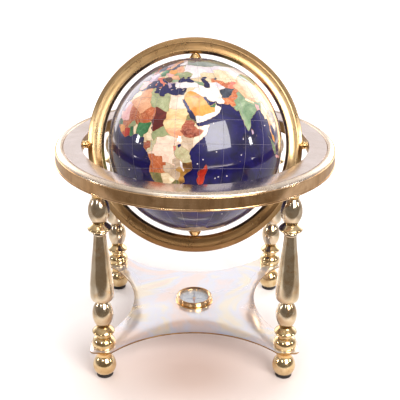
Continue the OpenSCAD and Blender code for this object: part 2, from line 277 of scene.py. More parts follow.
M = {}
# the meridian ring's brass; its ring_y brushing also carries painted shade at the ring's top and bottom
M["gold"] = brass("gold_brass_brushed", (238, 208, 160), (222, 188, 136), (0.25, 0.35),
                  tarnish=(190, 146, 92), brushed="ring_y", stain=0.3, stain_scale=16, micro=0.012)
M["gold_small"] = brass("gold_brass_turned", (236, 202, 146), (210, 166, 102), (0.10, 0.2),
                        tarnish=(172, 120, 60), brushed="turned", stain=0.4, stain_scale=60)
M["rose"] = brass("rose_brass_polished", (226, 214, 210), (212, 198, 190), (0.16, 0.27),
                  tarnish=(192, 166, 142), brushed="ring_z", stain=0.22, stain_scale=14, micro=0.10)
M["skirt"] = brass("rose_brass_skirt", (236, 200, 158), (212, 170, 122), (0.12, 0.24),
                   tarnish=(150, 108, 62), brushed="ring_z", stain=0.5, stain_scale=18, micro=0.10)
M["lip"] = brass("rose_brass_lip", (228, 214, 198), (214, 194, 170), (0.22, 0.33),
                 tarnish=(180, 146, 108), brushed="ring_z", stain=0.35, stain_scale=18, micro=0.012)
M["leg"] = brass("leg_brass_polished", (218, 204, 180), (202, 180, 146), (0.10, 0.19),
                 tarnish=(196, 146, 78), brushed="turned", stain=0.65, stain_scale=45, micro=0.12)


M["leg_gold"] = brass("leg_gold_polished", (226, 204, 162), (208, 176, 124), (0.10, 0.2),
                      tarnish=(176, 124, 62), brushed="turned", stain=0.5, stain_scale=50, micro=0.12)


def m_plate():
    k = Mat("plate_brass_mirror")
    k.set(metal=0.72)
    slow = k.noise(7, 4, 0.6, dist=1.4)
    col = k.ramp(slow, [(0.30, lin((244, 232, 224))), (0.42, lin((248, 232, 226))),
                        (0.50, lin((234, 236, 246))), (0.57, lin((248, 240, 222))),
                        (0.66, lin((246, 228, 220))), (0.76, lin((240, 234, 238)))])
    blot = k.noise(20, 4, 0.55, k.mapping(loc=(0.4, 0.1, 0.0)), dist=1.0)
    col = k.mix(k.rng(blot, 0.54, 0.78, 0.0, 0.16), col, lin((228, 196, 160)))
    k.color(col)
    smear = k.noise(34, 5, 0.65, k.mapping(scale=(0.5, 1.6, 1)), dist=1.0)
    k.roughness(k.rng(smear, 0.32, 0.68, 0.10, 0.22))
    lines = k.noise(1.0, 2, 0.5, k.mapping(scale=(30, 1800, 30)))
    k.bump(lines, 0.10, 0.00002)
    return k.m


def m_steel():
    k = Mat("plain_steel")
    k.set(metal=1.0)
    n = k.noise(90, 4, 0.6)
    k.color(k.ramp(n, [(0.3, lin((150, 150, 154))), (0.7, lin((184, 184, 188)))]))
    k.roughness(k.rng(k.noise(300, 3), 0.3, 0.7, 0.25, 0.42))
    k.bump(k.noise(1.0, 2, 0.5, k.mapping(scale=(400, 400, 2600))), 0.2, 0.00002)
    return k.m


def m_rubber():
    k = Mat("black_rubber")
    n = k.noise(260, 5, 0.65)
    k.color(k.ramp(n, [(0.3, lin((20, 17, 16))), (0.7, lin((42, 36, 33)))]))
    k.roughness(k.rng(n, 0.3, 0.7, 0.55, 0.8))
    k.bump(k.noise(1500, 3, 0.6), 0.4, 0.00005)
    return k.m


M["plate"] = m_plate()
# darker brass for the plate's rim faces; on the horizon ring's inner wall it is painted shade
M["plate_edge"] = brass("plate_edge_brass", (172, 136, 86), (136, 100, 58), (0.28, 0.4),
                        tarnish=(110, 78, 46), stain=0.5, stain_scale=60, micro=0.2)
M["steel"] = m_steel()
M["rubber"] = m_rubber()


# ---------------------------------------------------------------- mesh helpers
def new_object(name, verts, faces, mats, body, replaces=(), matrix=None, sharp=35.0,
               index=None, normals=None):
    if matrix is not None:
        verts = [matrix @ Vector(v) for v in verts]
        if normals is not None:
            turn = matrix.to_3x3()
            normals = [turn @ Vector(n) for n in normals]
    me = bpy.data.meshes.new(name)
    me.from_pydata([tuple(v) for v in verts], [], [tuple(int(i) for i in f) for f in faces])
    for m in (mats if isinstance(mats, (list, tuple)) else [mats]):
        me.materials.append(m)
    if index is not None:
        me.polygons.foreach_set("material_index", np.asarray(index, dtype=np.int32))
    me.validate()
    me.polygons.foreach_set("use_smooth", np.ones(len(me.polygons), dtype=bool))
    if sharp is not None:
        me.set_sharp_from_angle(angle=math.radians(sharp))
    me.update()
    ob = bpy.data.objects.new(name, me)
    bpy.context.scene.collection.objects.link(ob)
    if normals is not None:
        me.normals_split_custom_set_from_vertices([tuple(n) for n in normals])
    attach(ob, body)
    if replaces:
        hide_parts(*replaces)
    return ob


def smooth_profile(pts, sub=5, corner=38.0):
    """Centripetal curve through the profile's points that keeps corners sharper than `corner` degrees."""
    P = [Vector(p).to_2d() for p in pts]
    n = len(P)
    hard = [True] * n
    for i in range(1, n - 1):
        a, b = (P[i] - P[i - 1]), (P[i + 1] - P[i])
        if a.length > 1e-9 and b.length > 1e-9:
            hard[i] = math.degrees(a.angle(b)) > corner
    out = [P[0]]
    for i in range(n - 1):
        p1, p2 = P[i], P[i + 1]
        p0 = P[i - 1] if i > 0 and not hard[i] else p1 - (p2 - p1)
        p3 = P[i + 2] if i + 2 < n and not hard[i + 1] else p2 + (p2 - p1)
        t0 = 0.0
        t1 = t0 + max((p1 - p0).length, 1e-6) ** 0.5
        t2 = t1 + max((p2 - p1).length, 1e-6) ** 0.5
        t3 = t2 + max((p3 - p2).length, 1e-6) ** 0.5
        for k in range(1, sub + 1):
            t = t1 + (t2 - t1) * k / sub
            a1 = p0 * ((t1 - t) / (t1 - t0)) + p1 * ((t - t0) / (t1 - t0))
            a2 = p1 * ((t2 - t) / (t2 - t1)) + p2 * ((t - t1) / (t2 - t1))
            a3 = p2 * ((t3 - t) / (t3 - t2)) + p3 * ((t - t2) / (t3 - t2))
            b1 = a1 * ((t2 - t) / (t2 - t0)) + a2 * ((t - t0) / (t2 - t0))
            b2 = a2 * ((t3 - t) / (t3 - t1)) + a3 * ((t - t1) / (t3 - t1))
            out.append(b1 * ((t2 - t) / (t2 - t1)) + b2 * ((t - t1) / (t2 - t1)))
    return [(p.x, p.y) for p in out]


def lathe_mesh(loop, seg, axis="Z", centre=(0.0, 0.0)):
    """Closed solid of revolution. loop is a closed outline of (r, h) in mm; points at r 0 become single poles."""
    verts, rows = [], []
    for r, h in loop:
        if r < 1e-6:
            rows.append([len(verts)])
            verts.append((r, 0.0, h))
        else:
            row = []
            for j in range(seg):
                a = 2 * math.pi * j / seg
                row.append(len(verts))
                verts.append((r * math.cos(a), r * math.sin(a), h))
            rows.append(row)
    faces = []
    n = len(rows)
    for i in range(n):
        A, B = rows[i], rows[(i + 1) % n]
        if len(A) == 1 and len(B) == 1:
            continue
        for j in range(seg):
            k = (j + 1) % seg
            if len(A) == 1:
                faces.append((A[0], B[k], B[j]))
            elif len(B) == 1:
                faces.append((A[j], A[k], B[0]))
            else:
                faces.append((A[j], A[k], B[k], B[j]))
    v = np.array(verts) * MM
    if axis == "Y":
        v = np.stack([v[:, 0], -v[:, 2], v[:, 1]], axis=1)
    elif axis == "X":
        v = np.stack([v[:, 2], v[:, 1], -v[:, 0]], axis=1)
    v[:, 0] += centre[0]
    v[:, 1] += centre[1]
    return v, faces


def fix_outward(verts, faces):
    """Reverses every face if the closed mesh encloses a negative volume."""
    v = np.asarray(verts)
    vol = 0.0
    for f in faces:
        for i in range(1, len(f) - 1):
            vol += np.dot(v[f[0]], np.cross(v[f[i]], v[f[i + 1]]))
    return [tuple(reversed(f)) for f in faces] if vol < 0 else faces


def lathe(name, outer, mat, body, nodes, bore=0.0, seg=96, axis="Z", centre=(0.0, 0.0),
          matrix=None, sub=5, corner=38.0, sharp=32.0):
    prof = smooth_profile(outer, sub, corner) if sub > 1 else list(outer)
    loop = [(bore, prof[0][1])] + prof + [(bore, prof[-1][1])]
    v, f = lathe_mesh(loop, seg, axis, centre)
    return new_object(name, v, fix_outward(v, f), mat, body, nodes, matrix, sharp)


def bulge(z0, z1, r0, r1, rm, k, n, p):
    out = []
    for i in range(n + 1):
        t = i / n
        s = t / k if t < k else (1 - t) / (1 - k)
        re = r0 if t < k else r1
        out.append((re + (rm - re) * math.sin(math.radians(90 * s)) ** p, z0 + (z1 - z0) * t))
    return out


# ---------------------------------------------------------------- legs
Z_FOOT, Z_PLATE, Z_PLO = 28.0, 42.0, 40.2
Z_CUSH, Z_LDISC, Z_LEGG, Z_BAL, Z_UDISC, Z_UEGG, Z_BOT = 56.7, 70.7, 106.0, 200.5, 211.0, 244.3, 257.0
BORE = 3.2
zt = Z_BAL - 4.7
LEG_PARTS = {
    "upper_egg": bulge(Z_UDISC, Z_UEGG, 7.4, 7.4, 12.9, 0.47, 60, 0.86),
    "upper_disc": [(7.9, Z_BAL), (9.2, Z_BAL + .5), (11.6, Z_BAL + 1.5), (13.7, Z_BAL + 2.7),
                   (14.2, Z_BAL + 3.7), (14.0, Z_BAL + 4.7), (13, Z_BAL + 6.1), (11.2, Z_BAL + 7.7),
                   (9.6, Z_BAL + 9), (8.3, Z_BAL + 10), (7.8, Z_UDISC)],
    "baluster": [(6.6, Z_LEGG), (9.4, Z_LEGG + .9), (11.6, Z_LEGG + 2.2), (13.2, Z_LEGG + 4),
                 (14.1, Z_LEGG + 6.4), (14.5, Z_LEGG + 9.4), (14.6, Z_LEGG + 13), (14.5, Z_LEGG + 17),
                 (14.2, Z_LEGG + 24), (13.7, Z_LEGG + 30), (13, Z_LEGG + 37), (12.2, Z_LEGG + 44),
                 (11.3, Z_LEGG + 53), (10.4, Z_LEGG + 61), (9.5, Z_LEGG + 68), (8.7, Z_LEGG + 75),
                 (8, Z_LEGG + 82), (7.5, zt), (7.5, zt + .2), (8.1, zt + 1), (8.4, zt + 2.2),
                 (8.1, zt + 3.5), (7.5, Z_BAL)],
    "lower_egg": bulge(Z_LDISC, Z_LEGG, 6.9, 6.6, 13.0, 0.5, 60, 0.82),
    "lower_disc": [(8.6, Z_CUSH), (8.4, Z_CUSH + 2), (9.2, Z_CUSH + 3.4), (11.4, Z_CUSH + 4.4),
                   (13.2, Z_CUSH + 5.5), (13.9, Z_CUSH + 6.7), (13.7, Z_CUSH + 7.9),
                   (12.6, Z_CUSH + 9.4), (10.8, Z_CUSH + 11.2), (9.1, Z_CUSH + 12.7), (7.9, Z_LDISC)],
    "cushion": [(13.6, Z_PLATE), (14.3, Z_PLATE + 1.4), (14.6, Z_PLATE + 3.4), (14.5, Z_PLATE + 5.8),
                (14.1, Z_PLATE + 8), (13.2, Z_PLATE + 10.2), (11.8, Z_PLATE + 12.2),
                (10, Z_PLATE + 13.8), (8.6, Z_CUSH)],
}
FOOT = bulge(4.4, Z_FOOT, 10.4, 9, 14.6, 0.42, 54, 0.82)
TOP_COLLAR = [(7.9, Z_UEGG), (8.1, Z_UEGG + 1.6), (8.6, Z_UEGG + 3.2), (9.5, Z_UEGG + 5),
              (10.7, Z_UEGG + 7), (12.2, Z_UEGG + 9.2), (13.6, Z_UEGG + 11.4), (14, Z_BOT)]
BASE_COLLAR = [(9.2, Z_FOOT), (8.8, Z_FOOT + 1.6), (8.8, Z_FOOT + 3.2), (9.3, Z_FOOT + 5),
               (10.4, Z_FOOT + 7), (12, Z_FOOT + 9), (13.3, Z_FOOT + 10.8), (13.8, Z_PLO)]
PAD = [(9.7, 0.0), (10.1, 0.15), (10.4, 0.7), (10.4, 4.1), (10.25, 4.4)]
SPOTS = {"fl": (-1, -1), "fr": (1, -1), "bl": (-1, 1), "br": (1, 1)}


def merged_lathes(name, prof, mat, body, nodes, bore, seg=96, sub=4):
    """The four like pieces of one CAD node, as one mesh of four closed solids."""
    allv, allf = [], []
    for sx, sy in SPOTS.values():
        p = smooth_profile(prof, sub, 60)
        v, f = lathe_mesh([(bore, p[0][1])] + p + [(bore, p[-1][1])], seg,
                          centre=(sx * LEG, sy * LEG))
        f = fix_outward(v - np.array([sx * LEG, sy * LEG, 0]), f)
        base = len(allv)
        allv.extend(v.tolist())
        allf.extend([tuple(i + base for i in q) for q in f])
    return new_object(name, allv, allf, mat, body, nodes)


for tag, (sx, sy) in SPOTS.items():
    c = (sx * LEG, sy * LEG)
    for part, prof in LEG_PARTS.items():
        egg = "egg" in part
        tone = M["leg"] if egg or part == "baluster" else M["leg_gold"]
        lathe(f"vis_{part}_{tag}", prof, tone, "stand", [f"{part}_{tag}"], bore=BORE,
              centre=c, sub=1 if egg else 4, corner=60)
    foot = [(0.0, 4.4)] + FOOT + [(3.02, Z_FOOT), (3.02, 10.0), (0.0, 10.0)]
    v, f = lathe_mesh(foot, 96, centre=c)
    f = fix_outward(v - np.array([c[0], c[1], 0]), f)
    new_object(f"vis_foot_{tag}", v, f, M["leg_gold"], "stand", [f"foot_{tag}"])

merged_lathes("vis_top_collars", TOP_COLLAR, M["gold_small"], "stand", ["top_collars"], BORE)
merged_lathes("vis_base_collars", BASE_COLLAR, M["gold_small"], "stand", ["base_collars"], BORE)
merged_lathes("vis_rubber_pads", PAD, M["rubber"], "stand", ["rubber_pads"], 0.0, sub=1)

# ---------------------------------------------------------------- horizon ring
HP = 271.6
HO = 177.0


def ring_solid(name, loop, mat, nodes, body="stand", seg=288, sharp=32.0):
    v, f = lathe_mesh([(min(r, 177.62), h) for r, h in loop], seg)
    return new_object(name, v, fix_outward(v, f), mat, body, nodes, None, sharp)


ring_solid("vis_horizon_top_plate",
           [(144.0, HP), (166.2, HP), (166.2, 273.1), (166.1, 273.2), (144.5, 273.2),
            (144.2, 273.12), (144.06, 272.98), (144.0, 272.75)],
           M["rose"], ["horizon_top_plate"])
lip_top = smooth_profile([(HO - 1.65, HP - 2.4), (HO - 1.65, HP - 1.2), (HO - 2.2, HP), (HO - 3.6, HP + 1.2),
                          (HO - 5.8, HP + 2), (HO - 8.4, HP + 2.4), (HO - 9.6, HP + 1.9),
                          (HO - 10.2, HP + .8), (HO - 10.6, HP)], 5, 75)
ring_solid("vis_horizon_lip",
           [(HO - 14.2, HP - 1.6), (HO - 9, HP - 1.6), (HO - 8.2, HP - .4), (HO - 5, HP - .9),
            (HO - 3, HP - 1.8), (HO - 1.9, HP - 2.4)] + lip_top + [(HO - 14.2, HP)],
           M["lip"], ["horizon_lip"], sharp=62.0)
DROP = 2.4      # the skirt hangs this far below its CAD part, as the object shows
bead = smooth_profile([(HO + .3, Z_BOT - DROP), (HO + .62, Z_BOT - DROP + .6), (HO + .62, Z_BOT - DROP + 1.4),
                       (HO + .3, Z_BOT - DROP + 2), (HO, Z_BOT - DROP + 2.3)], 4, 80)
edge = smooth_profile([(HO, HP - 2.2), (HO - .15, HP - 1.6), (HO - .6, HP - 1.25), (HO - 1.1, HP - 1.2)], 4, 80)
ring_solid("vis_horizon_skirt", [(HO - 1.6, Z_BOT - DROP)] + bead + edge + [(HO - 1.6, HP - 1.2)],
           M["skirt"], ["horizon_skirt"])


# ---------------------------------------------------------------- base plate
def plate_outline(half, rc, mid, arc, inset):
    """Square with rounded corners and four hollow sides, as one closed loop, pulled in by inset."""
    h = half - inset
    r = max(rc - inset, 0.5)
    ra = arc + inset
    cx = mid + arc
    # where the hollow side's circle meets the straight flat at x = h
    yy = math.sqrt(ra * ra - (cx - h) ** 2)
    pts = []
    for q in range(4):
        rot = math.radians(90 * q)
        loc = []
        a0 = math.atan2(-yy, h - cx)
        a1 = math.atan2(yy, h - cx)
        a0 = a0 + 2 * math.pi if a0 < 0 else a0
        n = 56
        for i in range(n + 1):
            a = a0 + (a1 - a0) * i / n
            loc.append((cx + ra * math.cos(a), ra * math.sin(a)))
        for i in range(13):
            a = math.radians(90 * i / 12)
            loc.append((h - r + r * math.cos(a), h - r + r * math.sin(a)))
        for x, y in loc:
            pts.append((x * math.cos(rot) - y * math.sin(rot), x * math.sin(rot) + y * math.cos(rot)))
    return pts


def build_plate():
    bm = bmesh.new()
    outs = []
    for inset, z in ((0.3, 40.2), (0.07, 40.28), (0.0, 40.5), (0.0, 41.7), (0.07, 41.92), (0.3, 42.0)):
        outs.append([bm.verts.new((x * MM, y * MM, z * MM))
                     for x, y in plate_outline(129.5, 6, 82, 135, inset)])
    for A, B in zip(outs, outs[1:]):
        n = len(A)
        for i in range(n):
            k = (i + 1) % n
            bm.faces.new((A[i], A[k], B[k], B[i]))
    holes = [(sx * 113, sy * 113, 3.2) for sx, sy in SPOTS.values()] + [(0, 0, 3.02)]
    lo, hi = [], []
    for x, y, r in holes:
        rows = []
        for z in (40.2, 42.0):
            rows.append([bm.verts.new(((x + r * math.cos(2 * math.pi * j / 48)) * MM,
                                       (y + r * math.sin(2 * math.pi * j / 48)) * MM, z * MM))
                         for j in range(48)])
        for j in range(48):
            k = (j + 1) % 48
            bm.faces.new((rows[0][k], rows[0][j], rows[1][j], rows[1][k]))
        lo.append(rows[0])
        hi.append(rows[1])
    for outline, hs in ((outs[0], lo), (outs[-1], hi)):
        edges = []
        for loop in [outline] + hs:
            for i in range(len(loop)):
                a, b = loop[i], loop[(i + 1) % len(loop)]
                e = bm.edges.get((a, b)) or bm.edges.new((a, b))
                edges.append(e)
        bmesh.ops.triangle_fill(bm, edges=edges, use_beauty=True, use_dissolve=False)
    bmesh.ops.recalc_face_normals(bm, faces=bm.faces[:])
    v = [tuple(x.co) for x in bm.verts]
    bm.verts.index_update()
    f = [tuple(x.index for x in face.verts) for face in bm.faces]
    rim = 5 * len(outs[0])
    bm.free()
    return new_object("vis_base_plate", v, f, [M["plate"], M["plate_edge"]], "stand",
                      ["base_plate"], sharp=28, index=[1 if i < rim else 0 for i in range(len(f))])


build_plate()


# ---------------------------------------------------------------- compass
def m_glass():
    k = Mat("compass_glass_clear")
    k.set(metal=0.0, alpha=0.16, spec=0.8)
    n = k.noise(120, 3, 0.5)
    k.color(k.ramp(n, [(0.3, lin((226, 234, 242))), (0.7, lin((244, 248, 252)))]))
    k.roughness(k.rng(k.noise(200, 3), 0.3, 0.7, 0.02, 0.06))
    k.bump(k.noise(60, 2, 0.5), 0.05, 0.00001)
    return k.m


def m_dial():
    k = Mat("compass_dial_enamel")
    k.set(metal=0.1, coat=0.4, coat_rough=0.1)
    cell = k.voronoi(900, out="Color")
    sep = k.node("ShaderNodeSeparateColor")
    k.link(cell, sep.inputs[0])
    col = k.ramp(sep.outputs[0], [(0.1, lin((186, 198, 212))), (0.5, lin((216, 222, 228))),
                                  (0.9, lin((240, 240, 240)))])
    col = k.mix(k.rng(k.noise(180, 4), 0.4, 0.7, 0.0, 0.4), col, lin((168, 182, 204)))
    k.color(col)
    k.roughness(k.rng(k.noise(500, 3), 0.3, 0.7, 0.22, 0.4))
    k.bump(k.noise(900, 3), 0.3, 0.00003)
    return k.m


def m_paint(name, c_hi, c_lo, rough=(0.25, 0.4)):
    k = Mat(name)
    n = k.noise(400, 4, 0.6)
    k.set(coat=0.3, coat_rough=0.08)
    k.color(k.ramp(n, [(0.3, lin(c_lo)), (0.7, lin(c_hi))]))
    k.roughness(k.rng(k.noise(700, 3), 0.3, 0.7, *rough))
    k.bump(k.noise(1200, 3), 0.2, 0.00002)
    return k.m


M["glass"] = m_glass()
M["dial"] = m_dial()
M["dial_ink"] = m_paint("dial_ink_grey", (158, 166, 184), (130, 140, 164))
M["needle_dark"] = m_paint("needle_blued", (126, 134, 158), (98, 106, 134), (0.15, 0.3))
M["needle_red"] = m_paint("needle_red", (188, 112, 104), (158, 84, 78), (0.2, 0.35))
M["bowl"] = brass("compass_bowl_brass", (234, 200, 150), (206, 164, 110), (0.10, 0.2),
                  tarnish=(168, 122, 70), brushed="turned", stain=0.35, stain_scale=70)
M["bezel"] = brass("compass_bezel_brass", (228, 194, 156), (202, 160, 116), (0.10, 0.18),
                   tarnish=(200, 150, 110), brushed="turned", stain=0.25, stain_scale=70)

P = Z_PLATE
wall = 23.4
bowl = ([(0.0, P - 6.4), (2.8, P - 6.4), (3.0, P - 6.2), (3.0, P), (25.2, P), (25.5, P + .3)]
        + smooth_profile([(25.5, P + .3), (25.4, P + .9), (24.8, P + 1.5), (wall, P + 1.8)], 5, 80)[1:]
        + [(wall, P + 5.9), (wall - .1, P + 6), (21.4, P + 6), (21.4, P + 4.6), (20.6, P + 4.6),
           (20.6, P + 2), (0.62, P + 2), (0.62, P + .8), (0.0, P + .8)])
ring_solid("vis_compass_bowl", bowl, M["bowl"], ["compass_bowl"], seg=144)
bezel = ([(19.9, P + 6), (23.4, P + 6)]
         + smooth_profile([(23.4, P + 6), (23.9, P + 6.5), (23.8, P + 7.4), (23, P + 8.1), (22.2, P + 8.2),
                           (21.1, P + 7.8), (19.9, P + 6.8)], 5, 100)[1:])
ring_solid("vis_compass_bezel", bezel, M["bezel"], ["compass_bezel"], seg=144)
ring_solid("vis_compass_glass", [(0.0, P + 4.6), (21.2, P + 4.6), (21.35, P + 4.75), (21.35, P + 5.85),
                                 (21.2, P + 6), (0.0, P + 6)], M["glass"],
           ["compass_glass"], seg=96)
ring_solid("vis_compass_dial", [(0.7, P + 2), (20.5, P + 2), (20.5, P + 2.34), (20.44, P + 2.4),
                                (0.7, P + 2.4)], M["dial"], ["compass_dial"], seg=96)


def prism(outline, z0, z1):
    n = len(outline)
    v = [(x * MM, y * MM, z0 * MM) for x, y in outline] + [(x * MM, y * MM, z1 * MM) for x, y in outline]
    f = [tuple(range(n - 1, -1, -1)), tuple(range(n, 2 * n))]
    f += [(i, (i + 1) % n, (i + 1) % n + n, i + n) for i in range(n)]
    return v, f


def dial_marks():
    """Plain tick marks, longer every 30 degrees, an inner circle and a four-point star."""
    V, F = [], []

    def add(v, f):
        b = len(V)
        V.extend(v)
        F.extend([tuple(i + b for i in q) for q in f])

    z0, z1 = P + 2.38, P + 2.46
    for k in range(36):
        a = math.radians(10 * k)
        r0, r1, w = (15.2, 19.4, 0.30) if k % 9 == 0 else (16.4, 19.4, 0.22) if k % 3 == 0 else (17.6, 19.4, 0.14)
        c, s = math.cos(a), math.sin(a)
        o = [(r * c - q * s, r * s + q * c) for r, q in ((r0, -w), (r1, -w), (r1, w), (r0, w))]
        add(*prism(o, z0, z1))
    for k in range(4):
        a = math.radians(90 * k)
        c, s = math.cos(a), math.sin(a)
        o = [(r * c - q * s, r * s + q * c) for r, q in ((2.6, -1.7), (12.5, 0), (2.6, 1.7))]
        add(*prism(o, z0, z1))
    v, f = lathe_mesh([(14.0, z0), (14.3, z0), (14.3, z1), (14.0, z1)], 96)
    add(v.tolist(), fix_outward(v, f))
    return new_object("vis_compass_dial_marks", V, F, M["dial_ink"], "stand")


dial_marks()


def needle():
    """Bevelled lozenge, dark half and red half, on a small turned hub with a blind hole."""
    V, F, I = [], [], []
    z0, z1, zc = P + 3.2, P + 3.45, P + 3.6
    for s, mi in ((-1, 1), (1, 0)):
        o = [(-2.1, 0), (0, 16.6 * s), (2.1, 0)]
        b = len(V)
        V += [(x * MM, y * MM, z0 * MM) for x, y in o] + [(x * MM, y * MM, z1 * MM) for x, y in o]
        V.append((0, 0, zc * MM))
        F += [tuple(b + i for i in q) for q in ((0, 1, 2), (3, 4, 6), (4, 5, 6), (5, 3, 6), (0, 3, 4, 1),
                                                (1, 4, 5, 2), (2, 5, 3, 0))]
        I += [mi] * 7
    hub, hf = lathe_mesh([(0.65, P + 3), (1.8, P + 3), (1.9, P + 3.1), (1.9, P + 3.9), (1.7, P + 4.05),
                          (0.0, P + 4.1), (0.0, P + 3.85), (0.65, P + 3.85)], 48)
    hf = fix_outward(hub, hf)
    b = len(V)
    V += hub.tolist()
    F += [tuple(i + b for i in q) for q in hf]
    I += [2] * len(hf)
    me_ob = new_object("vis_compass_needle", V, F, [M["needle_dark"], M["needle_red"], M["gold_small"]],
                       "needle", ["compass_needle"], index=I, sharp=20)
    bm = bmesh.new()
    bm.from_mesh(me_ob.data)
    bmesh.ops.recalc_face_normals(bm, faces=bm.faces[:])
    bm.to_mesh(me_ob.data)
    bm.free()


needle()

# ---------------------------------------------------------------- meridian ring
RO, RI, H = 136.5, 116.0, 5.5
half = [(RI, H - 2.3), (RI + 2.6, H - .3), (RI + 3, H), (RI + 4, H), (RI + 4.4, H - .5), (RI + 8.8, H - .9),
        (RI + 13.2, H - .5), (RI + 13.6, H), (RI + 14.7, H), (RI + 15.1, H - .4), (RO - 1.6, H - 2.9),
        (RO, H - 3.9)]
groove = smooth_profile([half[4], half[5], half[6]], 8, 80)
bead1 = smooth_profile([half[1], (RI + 3, H - .02), (RI + 3.5, H), (RI + 4, H - .03), half[4]], 4, 100)
bead2 = smooth_profile([half[6], (RI + 13.7, H - .04), (RI + 14.15, H), (RI + 14.7, H - .04), half[9]], 4, 100)
outerc = smooth_profile([half[9], half[10], half[11]], 3, 60)
top_half = [half[0]] + bead1 + groove[1:] + bead2[1:] + outerc[1:]
loop = top_half + [(r, -y) for r, y in reversed(top_half)]
v, f = lathe_mesh(loop, 320, "Y")
f = fix_outward(v, f)
mer = new_object("vis_meridian_ring", v, f, M["gold"], "meridian", ["meridian_ring"],
                 POLAR, 30.0)


def cut(ob, tools):
    """Applies a boolean difference for each (verts, faces, matrix) tool and leaves plain mesh data."""
    for i, (tv, tf, tm) in enumerate(tools):
        me = bpy.data.meshes.new("cutter")
        me.from_pydata([tuple(x) for x in tv], [], [tuple(q) for q in tf])
        c = bpy.data.objects.new("cutter", me)
        bpy.context.scene.collection.objects.link(c)
        c.matrix_world = tm
        mod = ob.modifiers.new("cut", "BOOLEAN")
        mod.operation = "DIFFERENCE"
        mod.solver = "EXACT"
        mod.object = c
        bpy.context.view_layer.update()
        dg = bpy.context.evaluated_depsgraph_get()
        new = bpy.data.meshes.new_from_object(ob.evaluated_get(dg))
        ob.modifiers.clear()
        old = ob.data
        ob.data = new
        bpy.data.meshes.remove(old)
        bpy.data.objects.remove(c)
        bpy.data.meshes.remove(me)
    ob.data.polygons.foreach_set("use_smooth", np.ones(len(ob.data.polygons), dtype=bool))
    ob.data.set_sharp_from_angle(angle=math.radians(62))


tools = []
for s in (1, -1):
    pin = [(0.0, RI - 4), (3.02, RI - 4), (3.02, RO - 4.5), (0.0, RO - 4.5)]
    tv, tf = lathe_mesh([(r, h * s) for r, h in pin], 48)
    tools.append((tv, fix_outward(tv, tf), POLAR))
    kn = [(0.0, RO - 10), (3.02, RO - 10), (3.02, RO + 6), (0.0, RO + 6)]
    tv, tf = lathe_mesh([(r, h * s) for r, h in kn], 48, "X")
    tools.append((tv, fix_outward(tv, tf), POLAR))
cut(mer, tools)

# knobs between the rings
HR = 144.0
for tag, s, nodes in (("left", -1, ["pivot_knob_left"]), ("right", 1, ["pivot_knob_right"])):
    grip = smooth_profile([(4.4, RO), (5, RO + .7), (5, RO + 2.2), (4.5, RO + 3), (4.5, RO + 4.2), (5, RO + 5),
                           (5, HR - 1.3), (4.6, HR - .9)], 3, 70)
    pr = ([(0.0, RO - 9.8), (2.8, RO - 9.8), (3.0, RO - 9.6), (3.0, RO)] + grip
          + [(2.0, HR - .9), (2.0, HR + 10.5), (1.5, HR + 11), (0.0, HR + 11)])
    v, f = lathe_mesh([(r, h * s) for r, h in pr], 64, "X")
    v[:, 2] += GZ
    new_object(f"vis_pivot_knob_{tag}", v, fix_outward(v - np.array([0, 0, GZ]), f), M["gold_small"],
               "meridian", nodes)

# pole pins and cones
for tag, s in (("north", 1), ("south", -1)):
    pr = [(0.0, 99.6), (2.8, 99.6), (3.0, 99.8), (3.0, RO - 4.7), (2.8, RO - 4.5), (0.0, RO - 4.5)]
    v, f = lathe_mesh([(r, h * s) for r, h in pr], 48)
    new_object(f"vis_pole_pin_{tag}", v, fix_outward(v, f), M["gold_small"], "meridian",
               [f"pole_pin_{tag}"], POLAR)
    pr = ([(3.05, 96), (6, 96), (6, 108), (8.3, 108), (8.3, 110.4)]
          + smooth_profile([(8.3, 110.4), (8.1, 110.8), (7.6, 111.3), (6.6, 113), (5.4, 114.8), (4.9, 115.4)], 4, 60)[1:]
          + [(3.05, 115.4)])
    v, f = lathe_mesh([(r, h * s) for r, h in pr], 72)
    new_object(f"vis_pole_bushing_{tag}", v, fix_outward(v, f), M["gold_small"], "globe",
               [f"pole_bushing_{tag}"], POLAR)


# ---------------------------------------------------------------- the map
def pl(s):
    return [tuple(float(x) for x in p.split(",")) for p in s.split()]


